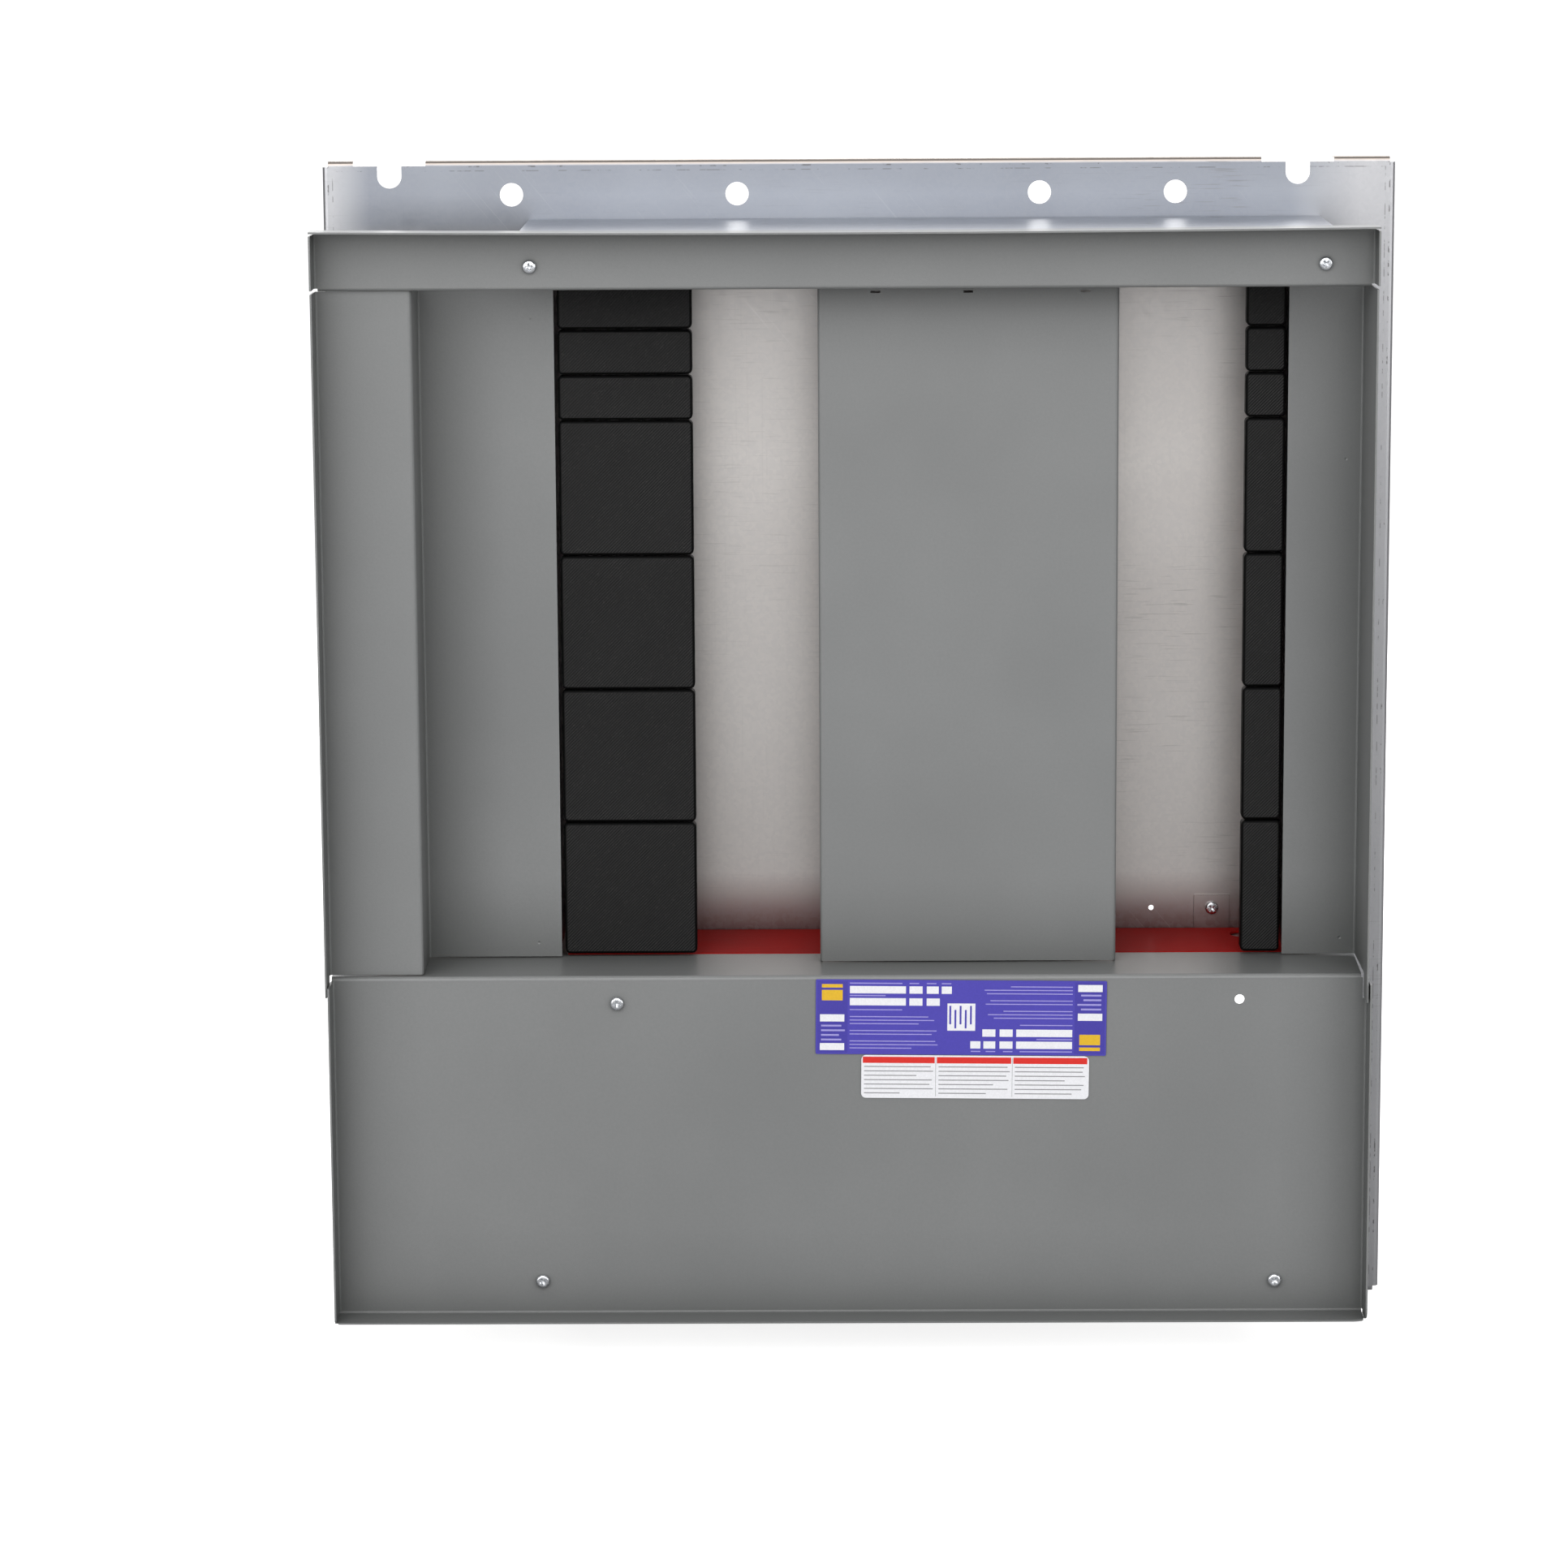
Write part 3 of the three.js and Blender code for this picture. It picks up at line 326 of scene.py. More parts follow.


def zinc_tones(tree, parts, cloud):
    """Warm clean zinc behind the covers, with painted shade in the bays under the trim, a painted red
    reflection and shade of the barrier board low in the bays, a darker, bluer painted shade above the trim,
    and an even painted tone on the side strips.
    """
    height, across = parts.outputs["Z"], parts.outputs["X"]
    forward = spread(tree, parts.outputs["Y"], PAN_BOX[0].y + 0.6 * MM, PAN_BOX[0].y + 1.3 * MM, 1.0, 0.0)
    warm = blended(tree, cloud["Broad"], srgb(196, 191, 188), srgb(207, 203, 200))
    cool = blended(tree, cloud["Broad"], srgb(132, 136, 145), srgb(150, 154, 162))
    edge = blended(tree, cloud["Broad"], srgb(176, 177, 180), srgb(188, 188, 191))
    bay_top = spread(tree, height, TRIM_BOX[0].z - BAY_SHADE_REACH, TRIM_BOX[0].z, 0.0, 0.7)
    bay_low = spread(tree, height, BARRIER_BOX[1].z, BARRIER_BOX[1].z + RED_REFLECTION_REACH, 0.95, 0.0)
    over = spread(tree, height, BARRIER_BOX[0].z - 1 * MM, BARRIER_BOX[0].z)
    red_reflection = math_of(tree, "MULTIPLY", math_of(tree, "MULTIPLY", bay_low, over), forward)
    shaded = math_of(tree, "MULTIPLY", bay_top, forward)
    above = spread(tree, height, TRIM_BOX[0].z + 12 * MM, TRIM_BOX[1].z - 8 * MM)
    lip = spread(tree, height, PAN_BOX[1].z - 4.5 * MM, PAN_BOX[1].z - 2.5 * MM)
    right = spread(tree, across, PAN_BOX[1].x - 90 * MM, PAN_BOX[1].x - 30 * MM)
    left = spread(tree, across, PAN_BOX[0].x + 8 * MM, PAN_BOX[0].x + 40 * MM, 1.0, 0.0)
    # painted shade: the bays darken towards the trim above them
    tone = blended(tree, shaded, warm, srgb(150, 147, 146))
    # painted reflection and shade: the red barrier board's red, low in the bays
    tone = blended(tree, red_reflection, tone, srgb(104, 76, 74))
    # painted shade: a darker, bluer tone on the band above the trim
    tone = blended(tree, math_of(tree, "MULTIPLY", above, forward), tone, cool)
    # painted light: the pan's left and right strips take one even tone, lighter than the band above the trim
    tone = blended(tree, math_of(tree, "MAXIMUM", left, right), tone, edge)
    return blended(tree, lip, tone, srgb(172, 162, 154))


def galvanized_steel(name, pressed):
    """Hot-dip zinc with a small spangle, mill streaks and rub marks; a pressed one shows die lines."""
    material, tree, shader, place = new_finish(name, Metallic=0.9)
    cloud = use_group(tree, MOTTLE, {"Vector": place, "Scale": 3.5, "Fine": 90.0})
    crystals = use_group(tree, SPANGLE, {"Vector": place, "Scale": 330.0})
    parts = add_node(tree, "ShaderNodeSeparateXYZ", {0: place})
    tone = zinc_tones(tree, parts, cloud)
    grains = blended(tree, math_of(tree, "MULTIPLY", crystals["Tone"], 0.14), tone, srgb(160, 161, 166))
    level = use_group(tree, SCUFFS, {
        "Vector": place, "Stretch": (26.0, 26.0, 620.0), "Start": 0.60, "Full": 0.68, "Where": 5.0})
    upright = use_group(tree, SCUFFS, {
        "Vector": place, "Stretch": (620.0, 40.0, 7.0), "Start": 0.62, "Full": 0.72, "Where": 3.0})
    slanted = use_group(tree, SCUFFS, {
        "Vector": place, "Stretch": (520.0, 30.0, 8.0), "Turn": (0.0, 0.7, 0.0),
        "Start": 0.66, "Full": 0.72, "Where": 4.0})
    handled = spread(tree, parts.outputs["X"], 0.0, 0.25, 0.16, 0.42)
    marks = math_of(tree, "ADD", math_of(tree, "MULTIPLY", level["Mask"], handled),
                    math_of(tree, "MULTIPLY", upright["Mask"], 0.06), clamp=True)
    scuffed = blended(tree, marks, grains, srgb(122, 120, 119))
    surface = blended(tree, math_of(tree, "MULTIPLY", slanted["Mask"], 0.1), scuffed, srgb(222, 222, 224))
    wear = use_group(tree, EDGE_WEAR, {"Vector": place, "Radius": 0.001, "Gain": 5.0})
    if pressed:
        surface = blended(tree, math_of(tree, "MULTIPLY", wear["Mask"], 0.4), surface, srgb(150, 140, 132))
        surface = blended(tree, press_marks(tree, place, parts), surface, srgb(92, 90, 90))
    else:
        surface = blended(tree, math_of(tree, "MULTIPLY", wear["Whole"], 0.8), surface, srgb(84, 78, 76))
    tree.links.new(surface, shader.inputs["Base Color"])
    dull = math_of(tree, "ADD", spread(tree, cloud["Fine"], 0.0, 1.0, 0.30, 0.34),
                   math_of(tree, "MULTIPLY", marks, 0.18))
    tree.links.new(math_of(tree, "ADD", dull, math_of(tree, "MULTIPLY", crystals["Tone"], 0.04)),
                   shader.inputs["Roughness"])
    set_bump(tree, shader, crystals["Height"], 0.00002, 0.4)
    return material


def press_marks(tree, place, parts):
    """Broken dark lines that the bending tools left along the pan's sides and top."""
    low, high = PAN_BOX
    from_left = math_of(tree, "SUBTRACT", parts.outputs["X"], low.x)
    from_right = math_of(tree, "SUBTRACT", high.x, parts.outputs["X"])
    from_top = math_of(tree, "SUBTRACT", high.z, parts.outputs["Z"])
    nearest = math_of(tree, "MINIMUM", math_of(tree, "MINIMUM", from_left, from_right), from_top)
    dashes = add_node(tree, "ShaderNodeTexNoise", {
        "Vector": place, "Scale": 85.0, "Detail": 3.0, "Roughness": 0.7})
    total = None
    for kind in (PRESS_LINE, PRESS_SMEAR):
        away = math_of(tree, "ABSOLUTE", math_of(tree, "SUBTRACT", nearest, kind["inset"]))
        line = spread(tree, away, kind["half"] * 0.4, kind["half"], 1.0, 0.0)
        broken = spread(tree, dashes.outputs["Fac"], kind["start"], kind["start"] + 0.06, 0.0,
                        kind["strength"])
        mark = math_of(tree, "MULTIPLY", line, broken)
        total = mark if total is None else math_of(tree, "MAXIMUM", total, mark)
    return total


def shaded_black_rim():
    """The smooth rounded rims, walls and legs of the same moulding, made darker and far less reflective than
    its face: painted shade on the rims.
    """
    material, tree, shader, place = new_finish("shaded black rim", Metallic=0.0, Specular_IOR_Level=0.06)
    cloud = use_group(tree, MOTTLE, {"Vector": place, "Scale": 20.0, "Fine": 800.0})
    tree.links.new(blended(tree, cloud["Fine"], srgb(6, 6, 6), srgb(11, 11, 11)), shader.inputs["Base Color"])
    tree.links.new(spread(tree, cloud["Broad"], 0.0, 1.0, 0.40, 0.50), shader.inputs["Roughness"])
    set_bump(tree, shader, cloud["Fine"], 0.00003)
    return material


def black_moulding():
    """Glass-filled black plastic with fine slanting ribs."""
    material, tree, shader, place = new_finish("black moulding", Metallic=0.0, Specular_IOR_Level=0.24)
    ribs = use_group(tree, RIBBING, {"Vector": place, "Pitch": 0.0027})
    cloud = use_group(tree, MOTTLE, {"Vector": place, "Scale": 14.0, "Fine": 700.0})
    base = blended(tree, ribs["Ribs"], srgb(5, 5, 5), srgb(22, 21, 21))
    speck = blended(tree, spread(tree, cloud["Fine"], 0.7, 1.0, 0.0, 0.4), base, srgb(60, 58, 56))
    edge = use_group(tree, EDGE_WEAR, {"Vector": place, "Radius": 0.0022, "Gain": 4.0, "Patches": 260.0})
    tree.links.new(blended(tree, math_of(tree, "MULTIPLY", edge["Mask"], 0.2), speck, srgb(74, 72, 70)),
                   shader.inputs["Base Color"])
    tree.links.new(spread(tree, cloud["Broad"], 0.0, 1.0, 0.46, 0.56), shader.inputs["Roughness"])
    set_bump(tree, shader, ribs["Height"], 0.0003)
    return material


def red_barrier_board():
    """Red insulating sheet with a faint fibre and handling marks."""
    material, tree, shader, place = new_finish("red barrier board", Metallic=0.0, IOR=1.04)
    cloud = use_group(tree, MOTTLE, {"Vector": place, "Scale": 12.0, "Fine": 300.0})
    rubs = use_group(tree, SCUFFS, {
        "Vector": place, "Stretch": (30.0, 700.0, 30.0), "Start": 0.6, "Full": 0.7, "Where": 9.0})
    base = blended(tree, cloud["Broad"], srgb(140, 16, 13), srgb(156, 21, 18))
    fibre = blended(tree, spread(tree, cloud["Fine"], 0.0, 1.0, 0.0, 0.25), base, srgb(112, 18, 17))
    tree.links.new(blended(tree, math_of(tree, "MULTIPLY", rubs["Mask"], 0.3), fibre, srgb(196, 92, 86)),
                   shader.inputs["Base Color"])
    tree.links.new(math_of(tree, "ADD", spread(tree, cloud["Broad"], 0.0, 1.0, 0.28, 0.36),
                           math_of(tree, "MULTIPLY", rubs["Mask"], 0.2)), shader.inputs["Roughness"])
    set_bump(tree, shader, cloud["Fine"], 0.00003)
    return material


def plated_metal(name, dark, light, rough):
    """Plated or bare metal with soft clouding, drawn lines and bright rubbed edges."""
    material, tree, shader, place = new_finish(name, Metallic=1.0)
    cloud = use_group(tree, MOTTLE, {"Vector": place, "Scale": 45.0, "Fine": 600.0})
    drawn = use_group(tree, SCUFFS, {
        "Vector": place, "Stretch": (700.0, 60.0, 12.0), "Start": 0.5, "Full": 0.75, "Where": 20.0})
    base = blended(tree, cloud["Broad"], dark, light)
    lined = blended(tree, math_of(tree, "MULTIPLY", drawn["Mask"], 0.3), base, dark)
    wear = use_group(tree, EDGE_WEAR, {"Vector": place, "Radius": 0.0008, "Gain": 5.0, "Patches": 300.0})
    tree.links.new(blended(tree, math_of(tree, "MULTIPLY", wear["Mask"], 0.4), lined, light),
                   shader.inputs["Base Color"])
    tree.links.new(spread(tree, cloud["Fine"], 0.0, 1.0, rough, rough + 0.15), shader.inputs["Roughness"])
    set_bump(tree, shader, cloud["Fine"], 0.00002)
    return material


def brown_moulding():
    """Polyester moulding of the bus supports, with pale glass fibre near its surface."""
    material, tree, shader, place = new_finish("brown moulding", Metallic=0.0, IOR=1.5)
    cloud = use_group(tree, MOTTLE, {"Vector": place, "Scale": 30.0, "Fine": 420.0})
    base = blended(tree, cloud["Broad"], srgb(92, 30, 24), srgb(112, 40, 32))
    tree.links.new(blended(tree, spread(tree, cloud["Fine"], 0.6, 1.0, 0.0, 0.5), base, srgb(146, 82, 70)),
                   shader.inputs["Base Color"])
    tree.links.new(spread(tree, cloud["Broad"], 0.0, 1.0, 0.42, 0.55), shader.inputs["Roughness"])
    set_bump(tree, shader, cloud["Fine"], 0.00006)
    return material


def label_ink(name, colour):
    """Printed vinyl: an almost even colour under a satin film."""
    material, tree, shader, place = new_finish(name, Metallic=0.0, IOR=1.45)
    cloud = use_group(tree, MOTTLE, {"Vector": place, "Scale": 40.0, "Fine": 900.0})
    deep = tuple(0.88 * c for c in colour[:3]) + (1.0,)
    tree.links.new(blended(tree, cloud["Fine"], colour, deep), shader.inputs["Base Color"])
    tree.links.new(spread(tree, cloud["Broad"], 0.0, 1.0, 0.34, 0.34 + 0.08), shader.inputs["Roughness"])
    set_bump(tree, shader, cloud["Broad"], 0.00003)
    return material


ENAMEL = grey_enamel()
GALVANIZED = galvanized_steel("galvanized steel", False)
PAN_STEEL = galvanized_steel("galvanized pan", True)
BLACK = black_moulding()
SHADED_RIM = shaded_black_rim()
RED_BOARD = red_barrier_board()
ZINC = plated_metal("bright zinc", srgb(190, 193, 198), srgb(228, 230, 233), 0.16)
COPPER = plated_metal("bus copper", srgb(190, 110, 74), srgb(220, 150, 110), 0.24)
TINNED = plated_metal("tinned aluminium", srgb(176, 177, 178), srgb(206, 207, 208), 0.34)
BROWN = brown_moulding()
INK = {
    "purple": label_ink("label purple", srgb(74, 66, 170)),
    "deep": label_ink("label deep purple", srgb(66, 58, 158)),
    "white": label_ink("label white", srgb(232, 232, 236)),
    "yellow": label_ink("label yellow", srgb(222, 178, 40)),
    "pale": label_ink("label pale rule", srgb(158, 152, 214)),
    "red": label_ink("label red", srgb(214, 42, 34)),
    "grey": label_ink("label grey rule", srgb(150, 150, 152)),
}


# ---- carried-over CAD pieces -----------------------------------------------------------------

SMOOTH_BEND = math.radians(34)     # bends gentler than this are shaded smooth
BROKEN_CORNER = math.radians(50)   # corners sharper than this lose their edge


def dress_cad(node, material, edge=0.00025):
    """Gives a CAD piece its finish, smooth bends and slightly broken edges."""
    piece = NODES[node]
    piece.data.materials.clear()
    piece.data.materials.append(material)
    piece.data.polygons.foreach_set("use_smooth", [True] * len(piece.data.polygons))
    piece.data.set_sharp_from_angle(angle=SMOOTH_BEND)
    broken = piece.modifiers.new("broken edges", "BEVEL")
    broken.width = edge
    broken.segments = 2
    broken.limit_method = "ANGLE"
    broken.angle_limit = BROKEN_CORNER
    broken.harden_normals = False
    even = piece.modifiers.new("even shading", "WEIGHTED_NORMAL")
    even.keep_sharp = True
    even.weight = 100


for node in PAINTED:
    dress_cad(node, ENAMEL)
for node in FORMED_STEEL:
    dress_cad(node, PAN_STEEL if node == "back_pan" else GALVANIZED)
dress_cad("barrier", RED_BOARD)
for tag in PHASES:
    dress_cad(f"phase_bar_{tag}", COPPER, 0.0006)
    dress_cad(f"main_lug_{tag}", TINNED, 0.0008)
    for side in (1, 2):
        dress_cad(f"lug_screw_{tag}{side}", ZINC, 0.0005)
for level in LEVELS:
    dress_cad(f"bus_support_{level}", BROWN, 0.0008)
dress_cad("neutral_bar", TINNED, 0.0006)
dress_cad("neutral_lug", TINNED, 0.0008)
for level in ("upper", "lower"):
    dress_cad(f"neutral_standoff_{level}", BROWN, 0.0005)


# ---- new pieces ------------------------------------------------------------------------------

def new_piece(name, mesh, body, node, materials):
    """A finished mesh as a piece that stands for a CAD node and rides on its body."""
    for material in materials:
        mesh.materials.append(material)
    piece = bpy.data.objects.new(name, mesh)
    bpy.context.scene.collection.objects.link(piece)
    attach(piece, body)
    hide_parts(node)
    return piece


def mesh_from(name, points, faces, smooth_below=40):
    """A mesh with its faces turned outwards, smooth across edges below the angle in degrees."""
    mesh = bpy.data.meshes.new(name)
    mesh.from_pydata(points, [], faces)
    made = bmesh.new()
    made.from_mesh(mesh)
    bmesh.ops.recalc_face_normals(made, faces=made.faces)
    made.to_mesh(mesh)
    made.free()
    mesh.polygons.foreach_set("use_smooth", [True] * len(mesh.polygons))
    mesh.set_sharp_from_angle(angle=math.radians(smooth_below))
    return mesh


def stitched_rings(rings, start, end):
    """Points and faces of a closed body through rings of equal counts.

    An end given as a point is closed by a fan, and one given as None by a single face.
    """
    count = len(rings[0])
    points = [p for ring in rings for p in ring]
    faces = []
    for r in range(len(rings) - 1):
        for i in range(count):
            j = (i + 1) % count
            faces.append((r * count + i, r * count + j, (r + 1) * count + j, (r + 1) * count + i))
    for cap, first in ((start, 0), (end, (len(rings) - 1) * count)):
        if cap is None:
            faces.append(tuple(range(first, first + count)))
        else:
            points.append(cap)
            tip = len(points) - 1
            faces.extend((first + i, first + (i + 1) % count, tip) for i in range(count))
    return points, faces


# ---- screws ----------------------------------------------------------------------------------

HEAD_R = 5.75 * MM
HEAD_HEIGHT = 3.3 * MM
HEAD_BREAK = 0.12 * MM             # the broken edge under the head
CROWN = {"share": 0.62, "fall": 0.5 * MM, "rings": 25}     # the slightly domed middle of the head
ROUND = {"share": 0.38, "start": 0.19 * MM, "fall": 2.1 * MM, "rings": 8}     # its rounded border
SHANK_R = 2.35 * MM
RECESS = {"reach": 3.1 * MM, "half": 0.62 * MM, "depth": 2.0 * MM, "flare": 0.22 * MM}
THREAD = {"pitch": 0.8 * MM, "depth": 0.34 * MM, "rings": 6}     # rings to each turn
SCREW_SIDES = 72


def recess_depth(radius, angle):
    """Depth of the cross recess at a point of the head: four wings that taper towards their ends."""
    deepest = 0.0
    for quarter in (0.0, math.pi / 2):
        along = abs(radius * math.cos(angle - quarter))
        across = abs(radius * math.sin(angle - quarter))
        fall = max(0.0, 1 - along / RECESS["reach"]) ** 0.55
        wall = min(1.0, max(0.0, (RECESS["half"] + RECESS["flare"] - across) / RECESS["flare"]))
        deepest = max(deepest, RECESS["depth"] * fall * wall)
    return deepest


def pan_head_screw(node, body, turn):
    """A pan-head machine screw with a cross recess, its head's edge rounded and its shank threaded."""
    low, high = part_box(node)
    middle_x, middle_z = (low.x + high.x) / 2, (low.z + high.z) / 2
    top, tip = low.y, high.y
    seat = top + HEAD_HEIGHT
    profile = []
    for k in range(1, CROWN["rings"] + 1):
        radius = HEAD_R * CROWN["share"] * k / CROWN["rings"]
        profile.append((radius, top + CROWN["fall"] * (radius / HEAD_R) ** 2, True, False))
    for k in range(1, ROUND["rings"] + 1):
        angle = math.radians(90 * k / ROUND["rings"])
        profile.append((HEAD_R * (CROWN["share"] + ROUND["share"] * math.sin(angle)),
                        top + ROUND["start"] + ROUND["fall"] * (1 - math.cos(angle)), False, False))
    profile.append((HEAD_R, seat - HEAD_BREAK, False, False))
    profile.append((HEAD_R - HEAD_BREAK, seat, False, False))
    profile.append((SHANK_R + 0.2 * MM, seat, False, False))
    steps = int((tip - seat - 0.6 * MM) / (THREAD["pitch"] / THREAD["rings"]))
    for k in range(steps + 1):
        profile.append((SHANK_R, seat + 0.1 * MM + k * THREAD["pitch"] / THREAD["rings"], False, True))
    profile.append((SHANK_R - 0.7 * MM, tip, False, False))
    rings = []
    for radius, depth, recessed, threaded in profile:
        ring = []
        for i in range(SCREW_SIDES):
            angle = 2 * math.pi * i / SCREW_SIDES
            r, y = radius, depth
            if recessed:
                y += recess_depth(radius, angle - turn)
            if threaded:
                phase = (depth / THREAD["pitch"] - i / SCREW_SIDES) % 1
                r -= THREAD["depth"] * (1 - abs(2 * phase - 1))
            ring.append((middle_x + r * math.cos(angle), y, middle_z + r * math.sin(angle)))
        rings.append(ring)
    bottom = (middle_x, top + recess_depth(0.0, -turn), middle_z)
    points, faces = stitched_rings(rings, bottom, (middle_x, tip, middle_z))
    mesh = mesh_from(f"{node}_pan_head", points, faces, 42)
    return new_piece(f"{node}_pan_head", mesh, body, node, [ZINC])


for kind, body, turns in (
    ("tab_screw", "chassis", (20, 64, 38)),
    ("trim_screw", "top_trim", (12, 40)),
    ("cover_screw", "bottom_cover", (4, 30, 52)),
):
    for i, turn in enumerate(turns, 1):
        pan_head_screw(f"{kind}_{i}", body, math.radians(turn))


# ---- filler blanks ---------------------------------------------------------------------------

BLANK = {
    "depth": 14.0 * MM, "wall": 2.2 * MM, "edge": 2.6 * MM, "corner": 4.0 * MM,
    "leg": 3.0 * MM, "leg_height": 12.0 * MM, "barb": 0.8 * MM,
}
LEG_XS = {"left": [-205.0 * MM, -176.0 * MM], "right": [356.5 * MM]}
VENT = {"size": 3.6 * MM, "pitch": 6.4 * MM, "count": 4, "setback": 5.0 * MM, "groups": (0.24, 0.62)}
CORNER_STEPS = 7
EDGE_STEPS = 6
QUADRANTS = ((1, 1), (-1, 1), (-1, -1), (1, -1))
BLOCK_FACES = ((0, 1, 3, 2), (4, 6, 7, 5), (0, 4, 5, 1), (2, 3, 7, 6), (0, 2, 6, 4), (1, 5, 7, 3))
FLAT_FRONT = 0.97                  # faces that look this squarely forwards carry the ribs; the rest take the darker rim copy, painted shade


def rounded_loop(low, high, inset, y):
    """A ring of points round a rounded rectangle in the XZ plane, set in from the given corners."""
    radius = max(BLANK["corner"] - inset, 0.5 * MM)
    ring = []
    for k, (sx, sz) in enumerate(QUADRANTS):
        cx = (high.x - inset - radius) if sx > 0 else (low.x + inset + radius)
        cz = (high.z - inset - radius) if sz > 0 else (low.z + inset + radius)
        for i in range(CORNER_STEPS + 1):
            angle = math.radians(90 * k + 90 * i / CORNER_STEPS)
            ring.append((cx + radius * math.cos(angle), y, cz + radius * math.sin(angle)))
    return ring


def snap_leg(name, x, front, rear, middle):
    """A flat tongue that ends in a barb, to snap behind the rail."""
    half, tall, barb = BLANK["leg"] / 2, BLANK["leg_height"] / 2, BLANK["barb"]
    outline = [(-half, front), (half, front), (half, rear - 9 * MM), (half + barb, rear - 9 * MM),
               (half - 0.4 * MM, rear), (-half, rear)]
    rings = [[(x + dx, y, z) for dx, y in outline] for z in (middle - tall, middle + tall)]
    points, faces = stitched_rings(rings, None, None)
    return mesh_from(name, points, faces)


def carved(piece, tools, operation):
    """Applies one boolean of each tool mesh to the piece's mesh."""
    for tool_mesh in tools:
        tool = bpy.data.objects.new("tool", tool_mesh)
        bpy.context.scene.collection.objects.link(tool)
        step = piece.modifiers.new("carve", "BOOLEAN")
        step.operation = operation
        step.solver = "EXACT"
        step.object = tool
        bpy.context.view_layer.update()
        done = bpy.data.meshes.new_from_object(
            piece.evaluated_get(bpy.context.evaluated_depsgraph_get()))
        piece.modifiers.clear()
        piece.data = done
        bpy.data.objects.remove(tool)


def vent_blocks(low, high):
    """A square cutter for each vent, one through the upper wall and one through the lower."""
    width = high.x - low.x
    front = low.y + VENT["setback"]
    blocks = []
    for group in VENT["groups"]:
        for i in range(VENT["count"]):
            x = low.x + width * group + (i - 1) * VENT["pitch"]
            blocks.append((x, x + VENT["size"], front, front + VENT["size"]))
    points, faces = [], []
    for x0, x1, y0, y1 in blocks:
        for z0, z1 in ((low.z - MM, low.z + 3 * MM), (high.z - 3 * MM, high.z + MM)):
            base = len(points)
            points += [(x, y, z) for x in (x0, x1) for y in (y0, y1) for z in (z0, z1)]
            faces += [tuple(base + i for i in face) for face in BLOCK_FACES]
    return mesh_from("vents", points, faces)


def filler_blank(column, index):
    """A hollow cap with rounded edges, snap legs and, in the wide column, vents."""
    node = f"{column}_blank_{index}"
    low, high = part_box(node)
    front, edge, wall = low.y, BLANK["edge"], BLANK["wall"]
    rear = front + BLANK["depth"]
    rings = []
    for k in range(EDGE_STEPS + 1):
        angle = math.radians(90 * k / EDGE_STEPS)
        rings.append(rounded_loop(low, high, edge * (1 - math.sin(angle)),
                                  front + edge * (1 - math.cos(angle))))
    for inset, y in ((0.0, rear - 0.3 * MM), (0.3 * MM, rear), (wall - 0.3 * MM, rear),
                     (wall, rear - 0.3 * MM), (wall, front + wall + 0.5 * MM),
                     (wall + 0.5 * MM, front + wall)):
        rings.append(rounded_loop(low, high, inset, y))
    points, faces = stitched_rings(rings, None, None)
    piece = bpy.data.objects.new(f"{node}_cap", mesh_from(f"{node}_cap", points, faces))
    bpy.context.scene.collection.objects.link(piece)
    middle = (low.z + high.z) / 2
    legs = [snap_leg("leg", x, front + wall - 0.4 * MM, high.y, middle) for x in LEG_XS[column]]
    carved(piece, legs, "UNION")
    if column == "left":
        carved(piece, [vent_blocks(low, high)], "DIFFERENCE")
    mesh = piece.data
    mesh.materials.clear()
    # faces that don't look squarely forwards take the second slot, the darker rim copy: painted shade
    mesh.polygons.foreach_set(
        "material_index", [int(face.normal.y > -FLAT_FRONT) for face in mesh.polygons])
    mesh.polygons.foreach_set("use_smooth", [True] * len(mesh.polygons))
    mesh.set_sharp_from_angle(angle=math.radians(38))
    bpy.data.objects.remove(piece)
    done = new_piece(f"{node}_cap", mesh, node, node, [BLACK, SHADED_RIM])
    even = done.modifiers.new("even shading", "WEIGHTED_NORMAL")
    even.keep_sharp = True


for column in ("left", "right"):
    for index in range(1, BLANKS_PER_COLUMN + 1):
        filler_blank(column, index)


# ---- labels ----------------------------------------------------------------------------------

LABEL_TILT = math.radians(0.6)     # both were stuck on with the right end a little low
FILM_T = 0.3 * MM
INK_T = 0.03 * MM
INK_LIFT = 0.002 * MM              # keeps the back of the ink off the film's own face
INK_LAYER = {"deep": 1, "white": 2, "yellow": 2, "pale": 2, "red": 2, "grey": 2, "purple": 3}


def label_outline(width, height, corner):
    """A rounded rectangle about its own middle, as points across and up."""
    ring = []
    for k, (sx, sz) in enumerate(QUADRANTS):
        cx, cz = sx * (width / 2 - corner), sz * (height / 2 - corner)
        for i in range(7):
            angle = math.radians(90 * k + 15 * i)
            ring.append((cx + corner * math.cos(angle), cz + corner * math.sin(angle)))
    return ring


